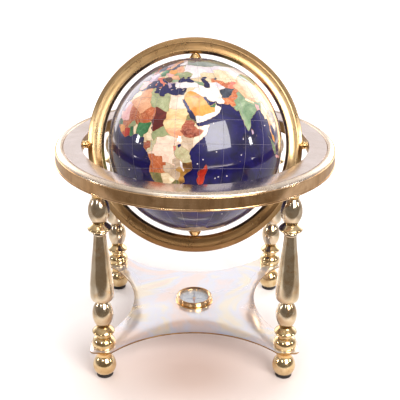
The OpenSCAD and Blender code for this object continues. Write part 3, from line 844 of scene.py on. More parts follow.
LAND = [pl(s) for s in (
    # Africa
    "-5.9,35.8 -3,35.2 -1.5,35.3 1,36.4 4,36.9 7,37 9.8,37.3 11,36.9 10.5,36.2 11.1,35.2 10.1,34.2 11.1,33.2 13.2,32.9 15.2,32.3 15.8,31.4 18,30.5 19.5,30.4 20.1,31 19.9,31.9 21.6,32.9 23.1,32.6 23.2,32.2 25,31.6 27.5,31.2 29,30.9 30.2,31.5 32.2,31.3 34.3,31.4 34.8,29.4 34.2,27.8 33.3,28.5 32.6,29.7 33.6,27.9 34,26.8 35.2,24.6 35.6,23.5 37.2,21.2 37.3,19.5 38.5,18.1 39.6,15.4 41.2,14.7 43.1,12.6 43.3,11.5 44.3,10.5 46.5,10.8 48.9,11.3 51.2,11.9 50.9,10.4 50.1,8.2 48.5,5 46,2.6 43.5,.5 41.6,-1.7 40.2,-2.7 39.2,-4.7 38.8,-6.3 39.5,-7.2 39.4,-8.8 40.4,-10.4 40.6,-12.5 40.8,-14.8 39.6,-16.4 37,-17.9 34.9,-19.9 35.5,-22 35.4,-23.9 32.8,-25.6 32.9,-26.8 32,-28.7 30.9,-30.4 28.2,-32.8 25.8,-33.9 22.2,-34.1 20,-34.8 18.4,-34.1 18,-32.5 17,-29.5 15.2,-26.8 14.5,-22.9 12.6,-19 11.8,-17 12.5,-14 13.7,-11.5 13,-8.8 12.3,-6.1 11,-4 9.2,-2 9.5,.5 9.7,2.6 9.5,4 8.5,4.6 6.2,4.3 4.6,6.2 2.5,6.3 1.1,6 -2,4.8 -4.5,5.2 -7.5,4.4 -9.4,5.7 -11.5,7 -13.2,8.6 -14.2,10.3 -16.2,11.7 -16.8,13.2 -17.4,14.7 -16.4,16.2 -16.2,19.2 -17.1,21 -15.9,23.9 -14.5,26.2 -12.9,27.9 -10.3,29.2 -9.7,31.3 -8.3,33.3 -6.8,34.1",
    # Madagascar
    "49.3,-12.1 50.4,-15.5 49.7,-16.8 48.5,-20.5 47.2,-24.9 45.2,-25.5 43.8,-23.8 43.4,-22 44.4,-19.8 44.2,-17.2 45.2,-16 46.9,-15.4 48.3,-13.6",
    # Eurasia
    "32.55,30.2 33.2,28.8 34.2,27.9 34.9,29.4 35.1,28.1 36.6,25.9 37.3,24.3 38.5,23 39.1,21.3 40.8,19.6 42.2,17.2 42.8,15.8 43.2,13.3 43.6,12.7 45,12.8 47.5,13.5 49,14.2 52.2,15.6 55,17 57.7,19 58.7,20.8 59.8,22.5 58.5,23.6 57,24 56.4,24.9 56.4,26.2 55.2,25.3 53.5,24.1 51.6,24.2 51.5,25.5 51.2,26.1 50.7,25.2 50.1,26.6 48.8,27.9 48,29.6 48.8,30.3 50.2,30 51.2,28 53,26.8 55,26.7 56.8,27.1 57.3,25.8 60,25.3 63,25.2 66.4,25.4 67.3,24 68.7,23.2 70.2,22.9 69,22.3 70.3,20.9 72,21.1 72.7,21.9 72.8,19.5 73.5,16.3 74.7,13.2 75.9,11 76.5,9 77.5,8.1 78.3,8.9 79.2,10.3 80,12.5 80.2,14.5 80.4,15.8 82.3,16.9 85,19.3 86.9,20.8 88.2,21.7 90.5,22.2 91.8,22.5 92.4,20.8 94,18.8 94.5,16 96.5,16.6 97.6,15.8 98,13.8 98.7,11.5 98.3,8.4 99.8,6.5 101.2,3 103.4,1.4 104.2,1.4 103.4,4 102.2,6.2 100.5,7.3 99.9,9.3 99.3,10.6 100,13.2 101,12.7 102.6,11.9 103.6,10.5 104.9,10.1 104.8,8.6 106.7,10 109.2,11.8 109,14 107.3,16.6 105.8,18.8 107,20.9 108.5,21.7 109.8,21.4 110.4,20.4 111.8,21.6 114,22.4 116.7,23.2 119.2,25.8 121.5,28.3 122,30.5 120.6,33.2 119.3,35.1 122.4,37 118.9,37.6 118,39.1 121.2,40.8 121.5,39 124.2,39.9 125.3,38.5 126.4,37 126.3,34.6 129.2,35.3 129.3,37.2 127.5,39.6 129.9,41.7 132,43.2 135.5,44.3 138.5,47.5 140.4,50 141,53 138,53.8 135.2,54.8 140,57.8 143.5,59.3 149,59.6 154.5,59.5 156,61.5 160.2,61.6 163,62.4 160,60.4 156.8,57.6 155.8,54.5 156.7,51.1 159.8,53.2 162,55 163.3,58 166,60 170.5,60 177,62.3 179.5,62.6 177.5,64.8 181,65 187,64.4 189.5,66.1 183,67.8 176,69.6 170,69.6 161,69.4 152,70.9 140.5,72.6 130,71 127,72.6 119,73 113.5,73.8 106,77.2 98,76.2 87,75 81,73.5 80.5,72 74,71.8 73.5,68 71.5,66.3 71,68.5 72.5,71.5 69,72.8 66.8,70 68.3,68.3 60.5,69.6 54,68.5 48,67.7 44,68.2 43.8,66.2 40.5,64.6 37,64.4 34.7,65 33,66.7 38,66.1 41,66.8 40.8,67.7 33.5,69.4 30.5,69.8 25.5,71 20,70 15,68.4 12.5,65.5 10,63.8 5.2,62.1 4.9,60.5 5.6,58.8 8,58 10.6,59.3 11.2,58.9 12,57.5 12.8,56.2 10.6,57.6 8.2,57.1 8.1,55.6 8.6,54.2 8.6,53.7 7,53.5 4.9,53 3.6,51.5 1.7,50.9 .2,49.6 -1.3,49.7 -1.6,48.7 -4.6,48.5 -2.6,47.4 -1.2,46 -1.4,43.7 -4.5,43.4 -8,43.7 -9.2,43 -8.8,41 -9.5,38.8 -8.8,37 -6.5,36.9 -5.5,36.1 -2.2,36.8 -.6,37.7 .1,38.8 -.3,39.8 1,41 3.2,42 3.1,43.1 5,43.4 7.3,43.7 8.8,44.4 10.3,43.6 11.2,42.4 12.4,41.6 14,40.8 15.6,40 16,38.2 16.6,38.6 17.1,39 16.9,40.4 18.4,39.9 18.2,40.7 16.1,41.6 14.1,42.6 12.4,44.3 12.4,45.4 13.6,45.6 13.9,44.9 15,44.6 16,43.5 18.4,42.5 19.4,41.6 19.4,40.3 20.8,38.9 21.4,37.6 21.8,36.8 22.9,36.6 23.1,37.4 24,37.8 22.9,39.3 22.8,40.4 24,40.2 24,40.8 26.1,40.8 26.3,40 26.3,38.8 27.2,37.4 28.3,36.7 30.6,36.8 32.4,36.1 34.5,36.8 36.1,36.6 35.8,34.9 35.1,33.2 34.4,31.5 32.5,31.2",
    # British Isles, Iceland, northern islands
    "-5.4,50.1 -3.4,50.4 1.3,51.1 1.6,52.7 .2,53.2 -1.3,54.8 -2.2,56.2 -2,57.6 -3.2,58.6 -5.1,58.5 -5.7,56.8 -4.8,55.2 -3.2,54.8 -3,53.5 -4.4,53 -4.9,51.8 -3,51.4",
    "-6.2,53.4 -6.3,52.2 -9.6,51.6 -9.8,53.4 -8.4,54.4 -7.3,55.3 -5.9,54.6",
    "-22.6,63.9 -18.7,63.4 -14.6,64.5 -15,66.1 -20.2,66.1 -23.8,65.7 -22,64.4",
    "52,71.3 57.5,70.7 55.8,73.3 60,75.5 68.5,76.9 62,76.2 55.5,74.8 53,73",
    "11.5,78.9 16.5,76.8 22,78.3 26,80 17,80.1",
    # Mediterranean islands
    "12.5,37.9 15.5,38.2 15.1,36.7", "8.4,39.1 9.6,39.2 9.6,41.1 8.3,40.8", "23.6,35.5 26.2,35.3 24,34.9",
    "32.4,34.8 34.4,35.6 33.6,34.8",
    # Asian islands
    "79.8,8.5 80.2,6.2 81.7,6.8 81.2,8.6 80.1,9.7",
    "95.4,5.6 98,4 100.4,2.1 103.4,.1 106,-3 105.8,-5.8 104,-5.5 101,-2.5 98.8,1.5",
    "105.3,-6.8 107,-6 110.9,-6.4 114.3,-7.7 114.4,-8.7 110,-8.1 106.5,-7.4",
    "109.1,1.5 111.4,2.4 113.5,3.5 115.4,5.4 117,7 119.2,5.3 117.8,3.2 117.9,.8 116.3,-2 114.8,-4 111.7,-3.4 110,-1.6",
    "119,-3.4 120,.8 124.9,1.4 123,.4 121,-1 122.8,-4.5 120.4,-5.5",
    "131.1,-.8 134,-.9 135,-3.3 138,-1.7 144,-3.9 147.5,-6 150.7,-10.5 147,-9.5 143,-9 139,-8 137.8,-5.2 133,-4 132,-2.5",
    "120.5,18.4 122.2,18.3 121.7,14.3 124,12.8 126.3,7.5 125.4,5.8 122,7.2 123.5,9 120.2,13.8",
    "130.4,31.4 131.9,33.5 135.6,33.6 139.8,35.1 141.6,39.5 141.2,41.3 140,40 137,37 133,35.5 129.8,33.2",
    "140,41.6 143.2,42.1 145.3,43.4 141.9,45.4 140.5,43.3", "142,46.1 143.6,49.3 143.2,52.4 142.4,54.2 141.9,50",
    "120.2,23 120.9,22.1 121.8,25", "108.8,19.3 110.2,18.3 110.9,20",
    # Australia and New Zealand
    "114,-22 113.6,-26.2 115,-30.5 115.2,-34.2 118.2,-35 123.8,-33.9 126.5,-32.3 131.2,-31.5 134.8,-33.2 137.8,-32.6 138.2,-35.2 140.5,-38 143.6,-38.8 147,-38.1 149.9,-37.4 150.9,-34.3 153.1,-31 153.5,-27.9 152.6,-25 149.5,-22.2 146.3,-19 145.3,-15.2 142.5,-10.8 141.6,-13.5 140.9,-17.4 138,-16.6 135.6,-15 136.9,-12.2 132.6,-11.4 130.7,-12.6 129.3,-14.9 126,-14 122.8,-16.8 121.4,-19.1 117,-20.7",
    "144.7,-41 148.2,-41 147.2,-43.5 145.8,-43.2",
    "172.9,-34.5 175.5,-37 178.4,-37.8 176.9,-40 175.2,-41.6 173.9,-39.4 174.7,-37.2",
    "172.7,-40.6 174.2,-41.6 172.8,-43.8 170.8,-45.9 168.6,-46.6 166.6,-45.8 170.2,-43.1",
    # North America
    "-168,65.6 -164,63.2 -165.3,61 -162,58.7 -157.5,58.7 -158.5,56 -163.5,54.8 -154,57.7 -151.5,59.3 -148,60.1 -141,60 -136.5,58 -130.5,54.5 -127.5,51 -124.6,48.3 -124,44.5 -124.3,40.3 -122.4,37.3 -120.6,34.6 -117.2,32.6 -115.8,30.2 -114.2,27.2 -110.1,23 -111.5,26.5 -113.2,31 -109.5,26 -105.5,21.5 -104.5,19 -99.5,16.7 -94.5,16.2 -91.5,14 -87.5,12.8 -85.7,10.5 -83,8.3 -80.3,7.4 -79.5,8.8 -77.9,7.4 -77.3,8.7 -79.6,9.5 -82.2,9.1 -83.6,11 -83.3,14.9 -87.8,15.8 -88.3,18.2 -87,21.4 -90.4,21 -91.8,18.6 -95,18.6 -97.5,21.5 -97.4,26 -94.8,29.3 -90,29.2 -85.5,29.9 -82.8,28.8 -81.8,26 -80.3,25.3 -80.6,28.3 -81.4,31 -77.5,34.2 -75.6,36.8 -74,40.5 -70.3,41.8 -70.5,43.3 -66.8,44.8 -64.5,43.6 -60.5,46.2 -64.8,46.3 -64.8,48.8 -66.8,50.2 -60,50.3 -55.8,52.4 -60.5,55.5 -64.5,60.3 -69.5,59 -70,61 -77.5,62.4 -78,58.8 -76.7,56 -79.5,54.5 -79,51.5 -82.3,52.9 -87,55.9 -92.5,57 -94.7,60.2 -93.5,62 -88,64.1 -86,66.3 -81.5,67.5 -85.5,69.6 -92,69.5 -95.5,68.3 -101,67.8 -108,67.5 -115,68 -122,69.8 -128,70.2 -135,69.3 -141,69.7 -150,70.6 -156.5,71.3 -163,69.5 -166.5,68.3 -162,66.6",
    "-62,66.5 -65.5,62.5 -72,64.5 -73,68 -85,70 -89.5,71.5 -81,73.6 -70.5,70.8",
    "-62,82.5 -77,77 -90,76.5 -88,81 -78,83", "-105,69.2 -116,69 -117.5,72.5 -106,73.3 -102,70.5",
    "-124,71.5 -117.5,73 -124,74.3", "-59.3,47.7 -53,46.8 -55.8,51.5",
    "-44,60 -51.5,63.8 -53.8,67.5 -51,69.8 -55,72.5 -60,76 -71,77.2 -66,80.5 -50,82.4 -32,83.5 -18,81 -19.5,76.5 -22,72 -24,70 -32,68 -40,65",
    "-84.9,21.9 -81,23.1 -74.3,20.2 -77.5,19.9", "-74.4,18.4 -72.8,19.9 -68.6,18.6 -71.5,17.8",
    # South America
    "-77.4,8.6 -75.5,10.7 -71.8,12.3 -71.5,10.9 -68.2,10.9 -62,10.7 -59.8,8.3 -57.2,6 -51.6,4.3 -50,.2 -48,-.8 -44.5,-2.6 -40,-2.9 -35.5,-5.2 -34.9,-8 -38.5,-13 -39.2,-17.5 -41,-22 -44.5,-23.1 -48.6,-26 -48.8,-28.6 -52.2,-32.4 -54,-34.8 -58,-34 -56.8,-36.5 -58,-38.3 -62.3,-39 -65,-41 -63.6,-42.6 -65.5,-45 -67.5,-46.5 -65.8,-47.9 -69,-51.5 -68.4,-52.5 -65.2,-54.7 -69,-55.5 -73.5,-53 -75.6,-48 -73.2,-42 -73.6,-37.2 -71.6,-33 -71.5,-28.5 -70.3,-22 -70.4,-18.4 -76.2,-13.9 -79.8,-7.2 -81.3,-5 -80,-2.8 -80.9,-1 -79.9,1 -78.3,2.5 -77.3,5.6",
    # Antarctica
    "-169.5,-78 -150,-76.5 -130,-74 -110,-74 -100,-72.5 -85,-73 -68,-73 -66,-68 -57.5,-63.3 -61,-67 -62,-74 -60,-76 -40,-78 -25,-74 -10,-71 10,-70 30,-69.5 50,-66.8 60,-67.5 70,-69 80,-67.5 100,-66 120,-66.8 140,-66.7 160,-70 170,-72 165,-77.5 190.5,-78 190.5,-90 -169.5,-90",
)]
WATER = [pl(s) for s in (
    "12.8,56 14.2,55.5 16,56.4 16.8,58.4 18.8,60 17.3,61.5 19.5,63.3 22,65.7 25.2,65.2 22.5,63.5 21.4,61.5 22.5,60.1 25.5,60.3 29.5,60.1 27.5,59.5 23.6,59.2 24,58 21.5,57.5 21,55.5 19.5,54.4 16.5,54.5 14,53.9 11,54.2 10.4,54.9 12,55 12.4,55.6",
    "28.2,41.4 28,43 28.7,44.2 30,45.6 31.5,46.6 33,46 32.6,45.3 33.6,44.4 35.5,45 35,45.9 35.3,46.4 38,46.9 39.2,47.1 38,46 37.4,45.2 38.5,44.3 41,42.9 41.6,41.6 39.5,41 36.5,41.3 34.9,42 31.5,41.3 29.2,41.2",
    "47,44.8 49.2,46.5 51.5,46.9 53,46.2 51.2,44.5 50.3,44.4 52.7,42.5 53.7,40.5 53.8,37.2 51.5,36.7 49.2,37.6 48.9,38.5 49.5,40.3 48,42.2 47.4,43.6",
    "58.5,44.5 60.5,46.4 61.7,45.5 60,43.9", "31.8,-.6 33.9,.2 34,-1.2 32.2,-2.4",
    "-92,46.7 -88,48.8 -84.5,46.5 -82,43 -79,43.6 -83,42 -84.5,45.3 -87.5,42 -87.5,45.5",
)]

# (stone, outline) pairs, laid in this order; a later one wins where two overlap.
REGION = [(a, pl(s)) for a, s in (
    # base of each continent
    ("greygreen", "25,60 60,57 90,58 120,58 150,52 190,55 190,82 20,82"),
    ("pearl", "30,43 30,62 60,58 90,60 120,60 150,58 150,42 60,48"),
    ("orange", "-170,15 -50,15 -50,50 -170,50"), ("peach", "-142,49 -50,44 -50,84 -142,84"),
    ("jade", "-170,50 -141,50 -141,75 -170,75"), ("pearl", "-75,84 -75,76 -57,74 -45,59 -10,70 -10,84"),
    ("coral", "-118,32.6 -106,31.6 -97,26 -96,18 -92,14 -105,15 -120,25"),
    ("cream", "-92.5,18.5 -92.5,13 -77,6 -77,16"), ("jade", "-82,13 -33,13 -33,-58 -82,-58"),
    ("pink", "-125,49 -95,49 -95,30 -110,31 -117,32 -130,40"),
    ("amber", "-82,0 -75,0 -70,-5 -70,-18 -82,-18"), ("red", "-80,2 -75,0 -70,2 -67.5,6 -72,12.8 -78,10"),
    ("greygreen", "-72,12.8 -67.5,6 -67,1 -60,5 -60,12"), ("cream", "-69,-11 -58,-16 -58,-20 -63,-22.5 -69,-22"),
    ("peach", "-69,-22 -63,-22 -54,-26 -52,-36 -63,-56 -70,-52 -71,-36"),
    ("brown", "-78,-18 -69,-18 -68,-25 -70.5,-35 -72,-50 -66,-57 -78,-57"),
    ("tan", "-169.5,-60 190.5,-60 190.5,-90 -169.5,-90"),
    ("orange", "112,-10 129,-10 129,-37 112,-37"), ("brown", "129,-9 138,-9 138,-26 129,-26"),
    ("cream", "129,-26 141,-26 141,-40 129,-40"), ("greygreen", "138,-9 156,-9 156,-29 141,-29 141,-26 138,-26"),
    ("coral", "141,-29 156,-28 150,-37.5 141,-34"), ("lavender", "141,-34 150,-37.5 149,-45 140,-45"),
    ("jade", "165,-33 180,-33 180,-48 165,-48"),
    # Europe
    ("pink", "-10,44.5 3.4,43 3.4,41.5 -5,35.9 -10,36"), ("green", "-10,42.2 -8.2,42.1 -6.3,41.7 -7,39.7 -7.3,37.1 -7.5,36 -10,36"),
    ("lavender", "-1.8,43.3 3.2,42.3 6,42.5 7.6,43.8 6.8,46 6,46.3 7.6,47.7 8.2,49 6.2,49.5 2.5,51.2 -6,50 -6,46"),
    ("amber", "2.5,51.2 6.2,49.5 6,51.9 7.2,53.8 4,54"),
    ("green", "6,51.9 6.2,49.5 8.2,49 7.6,47.6 10.5,47.4 13,47.5 13.8,48.8 12.3,50.3 15,51 14.3,54.2 11,54.9 9,54.9 7,54.5 7.2,53.6"),
    ("coral", "8,54.9 9,54.9 13,55 12.7,56.2 10.6,58 7,57.5"),
    ("cream", "6,46.3 6.8,46 10.5,46.6 13.5,46.6 16,46.9 17,48.2 13.8,48.8 13,47.5 10.5,47.4 7.6,47.6"),
    ("coral", "7.6,43.8 6.8,46 10.5,46.6 13.5,46.6 13.8,45.6 13,44 19,40 17,37 12,36.5 8,38 7.9,43"),
    ("amber", "14.3,54.4 15,51 18.8,49.7 22.7,49.2 24,51 23.5,54 19.5,54.8 18,55"),
    ("pink", "12.3,50.3 15,51 18.8,49.7 22.5,49 22,47.8 20.5,46.2 16.5,46.4 17,48.2 13.8,48.8"),
    ("brown", "13.6,45.6 16.5,46.4 20.5,46.2 22.5,44.4 22.8,42.2 20.5,41.3 19.4,41.8 18,42 14,44"),
    ("peach", "20.5,46.2 22,47.8 26.6,48.2 28.2,45.5 30,45 28.6,43.7 22.8,43.8 22.5,44.4"),
    ("jade", "22.8,42.2 22.5,44.2 28.6,43.7 28.5,41.9 26,41.7 23,41.4"),
    ("lavender", "19,41.8 20.5,41.3 23,41.4 26,41.7 26,40 26.1,36 24,34 20,34"),
    ("palegreen", "22.7,49.2 24,51 30.5,51.4 34,52.2 40,49.5 38.2,46.6 35,44 32,44 30,45 28.2,45.5 26.6,48.2 22.1,48"),
    ("peach", "23.5,54 24,51 30.5,51.4 31.5,54 28,57.5 27.5,60 21,59 20.5,55"),
    ("peach", "11.2,59 12.5,61 12.2,63.5 14.5,66 18,68.5 20.5,69 24,66 22,65.7 18,62 20,60 17,56 13,55 11,57"),
    ("lavender", "4,57.5 4,62 10,65 15,70 30,72 31.5,69.7 28.5,69.9 25.5,69 20.5,69 18,68.5 14.5,66 12.2,63.5 12.5,61 11.2,59"),
    ("pearl", "20.5,69 25.5,68.8 28.5,69.8 30,67.5 31.5,62.8 28,60.2 22,59.8 21,62 25,65.5 24,66"),
    ("red", "-5.4,49.5 2,50.8 2.5,53.5 -1,60 -7,59 -6,55 -5.5,52"), ("green", "-6,52 -5.8,54.7 -7,56 -11,54 -11,51"),
    ("cream", "-26,62 -12,62 -12,68 -26,68"),
    # Africa
    ("peach", "-8.7,27.3 -8.7,28.7 -5.5,29.8 -3.6,30.9 -1.2,32.2 -2,35.5 1,38 8.4,38 8.2,34.5 7.5,33.8 9.1,32.1 9.5,30.2 9.9,26.5 12,23.5 5.8,19.5 3.2,19 1.8,20.6 -4.8,25"),
    ("cream", "-14,27.6 -8.7,27.6 -8.7,28.7 -5.5,29.8 -3.6,30.9 -1.2,32.2 -2,36 -7,36 -12,32"),
    ("lavender", "-18,21.2 -13,21.3 -13,23 -12,23.4 -12,26 -8.7,26 -8.7,27.6 -14,27.9 -18,27"),
    ("pink", "-18,16.2 -16.3,16.5 -14.5,16.6 -12.2,14.8 -11,15.3 -5.5,15.5 -6.5,25 -4.8,25 -8.7,27.3 -8.7,26 -12,26 -12,23.4 -13,23 -13,21.3 -18,21.2"),
    ("orange", "-12.2,14.8 -11,15.3 -5.5,15.5 -6.5,25 -4.8,25 1.8,20.6 3.2,19 4.2,19 4.2,16.5 3.5,15.4 .4,14.9 -2,14.2 -4.4,12 -5.4,10.4 -8,10.2 -8.8,11.6 -11.4,12.3"),
    ("orange", "4.2,19.2 5.8,19.5 12,23.5 15,23 15.9,20.5 15.5,16.8 13.5,14.3 13,13.4 8,13 4.1,13.5 3.6,11.8 2.2,12.5 .4,14.2 .4,14.9 3.5,15.4 4.2,16.5"),
    ("redbrown", "14.2,13.1 13.5,14.3 15.5,16.8 15.9,20.5 15,23 16,23.4 24,19.5 24,15.7 22.5,14.2 22,12.6 22.9,11 19,9 17,8 15.5,7.5 13.9,9.8 15,11"),
    ("palegreen", "9.1,32.1 9.5,30.2 9.9,26.5 12,23.5 14.2,22.6 16,23.4 24,19.5 24,20 25,20 25,22 25,31.8 24,34 12,34 11.5,33.1 10.3,31.8"),
    ("palegreen", "8.4,38 12,38 12,33.2 11.5,33.1 10.3,31.8 9.1,32.1 7.5,33.8 8.2,34.5"),
    ("pinkcream", "25,22 36.9,22 35,25 33.8,27.6 34.9,29.5 34.3,31.3 33,32.5 25,32.5"),
    ("sand", "24,20 25,20 25,22 36.9,22 38.6,18 37,17 36.5,14.3 35.8,12.7 34.1,10.5 34,9.5 31,9.8 29,9.7 26.5,9.5 24,8.7 22.9,11 22,12.6 22.5,14.2 24,15.7"),
    ("peach", "24,8.7 26.5,9.5 29,9.7 31,9.8 34,9.5 34.1,8.5 33,7.8 35.3,5.4 34,4.2 31,3.7 27.5,5 25.2,5.3"),
    ("olive", "36.5,14.3 37,17 38.6,18.5 41,15.5 43.4,12.7 42.4,12.5 40.5,14.5"),
    ("rust", "36.5,14.3 40.5,14.5 42.4,12.5 41.8,11 42.8,10.3 44,9 48,8 45,5 42,4.2 41.9,3.9 39.5,3.5 36,4.5 35.3,5.4 33,7.8 34.1,8.5 34.1,10.5 35.8,12.7"),
    ("pinkcream", "42.8,10.8 44,9 48,8 45,5 42,4.2 41,2.8 41,-1 41.5,-2.5 45,-1 52.5,9 52,12.5 44,12"),
    ("tan", "34,4.2 35.3,5.4 36,4.5 39.5,3.5 41.9,3.9 41,2.8 41,-1 42,-2.5 39.6,-5 37.7,-3.5 34,-1 34,.5 35,2"),
    ("pinkcream", "31,3.7 34,4.2 35,2 34,.5 34,-1 30,-1.2 30,1"),
    ("sage", "34,-1 37.7,-3.5 39.6,-5 41,-6 41,-10.6 37,-11.5 34.6,-11.2 34,-9.5 31,-8.5 29.5,-6 30.5,-2.5 30.7,-1"),
    ("coral", "29.1,-1.4 30.8,-1.2 30.7,-3.5 29.4,-4.4"),
    ("pinkcream", "12,-5.9 12.2,-5.6 13,-4.6 15.5,-4.2 16.6,-1 17.8,.5 18.6,4.3 22,4.1 25.2,5.3 27.5,5 31,3.7 30,1 29.1,-1.4 29.4,-4.4 29.5,-6 30.8,-8.3 28.5,-9.3 28.4,-12 29.8,-12.2 29.8,-13.5 27,-12 24,-11 22,-11 21.8,-7.3 17,-7 16.5,-5.9 13,-5.9"),
    ("sage", "11.1,-3.9 11.5,-5 13,-4.6 15.5,-4.2 16.6,-1 17.8,.5 18.6,3.5 16.2,2 13.2,2.2 14.3,1 14,-2 12,-2.5"),
    ("rust", "8,1.1 11.3,1 11.3,2.2 13.2,2.2 14.3,1 14,-2 12,-2.5 11.1,-3.9 10,-4 8,-2"),
    ("cream", "8.5,4 9,2.2 16.2,2 15,4 14.5,6 15.5,7.5 13.9,9.8 15,11 14.2,13.1 13.2,10.5 12,7.5 11,6.6 9,5.8"),
    ("palegreen", "14.5,6 15,4 16.2,2 18.6,4.3 22,4.1 25.2,5.3 27.5,5 24,8.7 22.9,11 19,9 17,8 15.5,7.5"),
    ("green", "2.7,6 2.7,9 3.7,11.7 4.1,13.5 8,13 13,13.4 14.2,13.1 13.2,10.5 12,7.5 11,6.6 9,5.8 8.5,4 6,3.5 2.7,5.5"),
    ("cream", ".1,11 1,11 2.2,12.5 3.6,11.8 2.7,9 2.7,5 1,5 .3,8"),
    ("green", "-3,11 .1,11 .3,8 1.1,5 -3,4 -2.8,7"), ("red", "-8.3,10.2 -5.4,10.4 -3,9.9 -2.8,7 -3,4 -7.6,3.8 -8.4,6.5"),
    ("palegreen", "-5.4,10.4 -4.4,12 -2,14.2 .4,14.9 2.2,12.5 1,11 -3,11 -3,9.9"),
    ("red", "-11.6,6.8 -10,8.5 -8.4,7.5 -8.4,6.5 -7.6,3.8 -12,5"),
    ("amber", "-15.2,10.8 -13.7,12.6 -11.4,12.3 -8.8,11.6 -8.3,10.2 -8.4,7.5 -10,8.5 -11.6,6.8 -14,8"),
    ("green", "-18,16.2 -16.3,16.5 -14.5,16.6 -12.2,14.8 -11.4,12.3 -13.7,12.6 -18,12.3"),
    ("red", "-18,12.3 -13.7,12.6 -15,10.8 -18,10.8"),
    ("orange", "11,-6.2 13,-5.9 16.5,-5.9 17,-7 21.8,-7.3 22,-11 24,-11 24,-13 22,-13 22,-16.2 23.4,-17.6 21,-17.9 14,-17.4 11,-17.3"),
    ("tan", "22,-16.2 22,-13 24,-13 24,-11 27,-12 29.8,-13.5 29.8,-12.2 28.4,-12 28.5,-9.3 30.8,-8.3 33,-9.5 33.2,-13.5 30.3,-15 28.8,-16 27,-17.9 25.2,-17.8 23.4,-17.6"),
    ("pearl", "33,-9.5 34.6,-11.2 34.7,-14 35.8,-16 35.2,-17 34.3,-15.5 33.2,-13.5"),
    ("golden", "40.9,-10.5 37,-11.5 34.6,-11.2 34.7,-14 35.8,-16 35.2,-17 34.3,-15.5 33.2,-14 30.3,-15 30.4,-16 33,-17.5 32.8,-20 31.3,-22.4 32,-24 32,-26.8 34,-27 38,-22 42,-14"),
    ("tan", "25.2,-17.8 27,-17.9 28.8,-16 30.4,-16 33,-17.5 32.8,-20 31.3,-22.4 29.3,-22.2 27.5,-20.5"),
    ("cream", "20,-18 25.2,-17.8 27.5,-20.5 29.3,-22.2 26.8,-24.2 25.5,-25.7 22.5,-26 20,-26.8"),
    ("olive", "11,-17.3 14,-17.4 21,-17.9 23.4,-17.6 25.2,-17.8 20,-18 20,-28.5 17,-29 15,-29 11,-20"),
    ("olive", "15,-28.6 17.2,-28.4 20,-28.5 20,-26.8 22.5,-26 25.5,-25.7 26.8,-24.2 29.3,-22.2 31.3,-22.4 32,-24 32,-26.8 34,-27 32,-32 25,-36 17,-36"),
    ("coral", "27,-29.6 28.6,-28.6 29.4,-29.6 28,-30.6"), ("red", "42,-11 52,-11 52,-27 42,-27"),
    # Middle East and Central Asia
    ("amber", "34.9,29.5 36,33 39,34.4 42.5,33.2 45.5,31.5 47.5,30.2 48.5,28.5 50.5,26 51,24.6 52.6,22.8 55.2,22.6 55.2,20 52,19 47,17 43.3,17.4 42.4,16.4 38,20 34.7,27.5"),
    ("white", "42,16.4 43.3,17.4 47,17 52,19 55.2,20 55.2,22.6 56,24.2 57,26.8 61,23 58,18 50,13 43.5,12"),
    ("green", "51,24.6 50.5,25 51,27 54,26 56.3,26.5 56.2,24.8 56,24.2 55.2,22.6 52.6,22.8"),
    ("white", "38.8,34.6 41,35.2 42.4,37.1 44.8,37.2 46,35.5 45.8,34 48.3,31 48.6,30.1 47.5,30.2 45.5,31.5 42.5,33.2 39,34.4"),
    ("cream", "34.3,31.3 34.9,29.4 36,33 39,34.4 38.8,34.6 41,35.2 42.4,37.1 36.5,36.8 35.5,36 34,33"),
    ("pearl", "25.9,41.8 28,42 35,42.5 41.5,41.6 43.6,41 44.8,39.6 44.8,37.2 42.4,37.1 36.5,36.8 36,35.9 34.5,34 32,34 30,35.9 26.2,36 25.9,40"),
    ("jade", "40,43.5 43,42.6 46.5,41.8 48.5,42 50,40.3 49,38.3 46.5,38.9 44.8,39.6 43.6,41 41.5,41.6"),
    ("white", "44.8,39.6 46.5,38.9 49,38.3 51,36.8 54,37.4 57,38.2 60,37 61.2,36.5 60.6,34 61,31.5 61.8,31 61,29.8 63,27.2 61.6,25 56,25.6 50,29 48.6,29.9 48,31 45.5,34 46,35.5 44.8,37.2"),
    ("cream", "47,45 49,46.5 47,48 47,50 51,51.5 55,51 59,50.8 61.5,51 61,54 69,55.2 74,53.8 77,54.2 80.5,51 83,51 87.3,49.2 85.5,47.2 83,47 82.3,45.3 80,45 80.3,42.5 75,43 71,42.5 68,41 66,42.9 61,44 58.5,45.5 56,45 56,41.5 52.5,41.8 50,44"),
    ("orange", "56,41.5 56,45 58.5,45.5 61,44 66,42.9 68,41 71,42 73,40.8 70,40 68,37.2 66.5,37.3 64,39 60,42"),
    ("pearl", "52.5,41.8 56,41.5 60,42 64,39 66.5,37.3 64.5,36.3 61.2,35.3 60,37 57,38.2 54,37.4 52,39"),
    ("coral", "71,42.5 75,43 80.3,42.2 76,40.4 73.7,39.5 75,37.3 71.5,36.7 68,37.2 70,40 73,40.8 71,42"),
    ("bluegrey", "61.2,35.6 64.5,36.3 66.5,37.4 68,37.2 71.5,36.7 74.8,37.2 71.5,35 70,33 69.3,31.8 66.4,29.8 64,29.4 61,29.8 61.8,31 60.6,34"),
    ("orange", "61.6,25 63,27.2 61,29.8 64,29.4 66.4,29.8 69.3,31.8 70,33 71.5,35 74.8,37 77.5,35.4 74,33.3 74.5,31 73,29.5 70,28 71,24.5 68,23.5 66,24"),
    ("jade", "68,23.5 71,24.5 70,28 73,29.5 74.5,31 74,33.3 77.5,35.4 79,32.5 81,30.2 80.1,28.7 83,27.4 88,26.4 88.2,27.8 92,27.4 97,28.2 94.5,25 93.3,23 92.3,21.8 92.5,20 84,9.9 79.4,9.6 77.5,6 70,15 66,22"),
    ("lavender", "79.5,9.8 82.5,8 82,5.5 79,6"), ("cream", "80.1,28.7 81,30.2 86,28 88.2,27.8 88,26.4 83,27.4"),
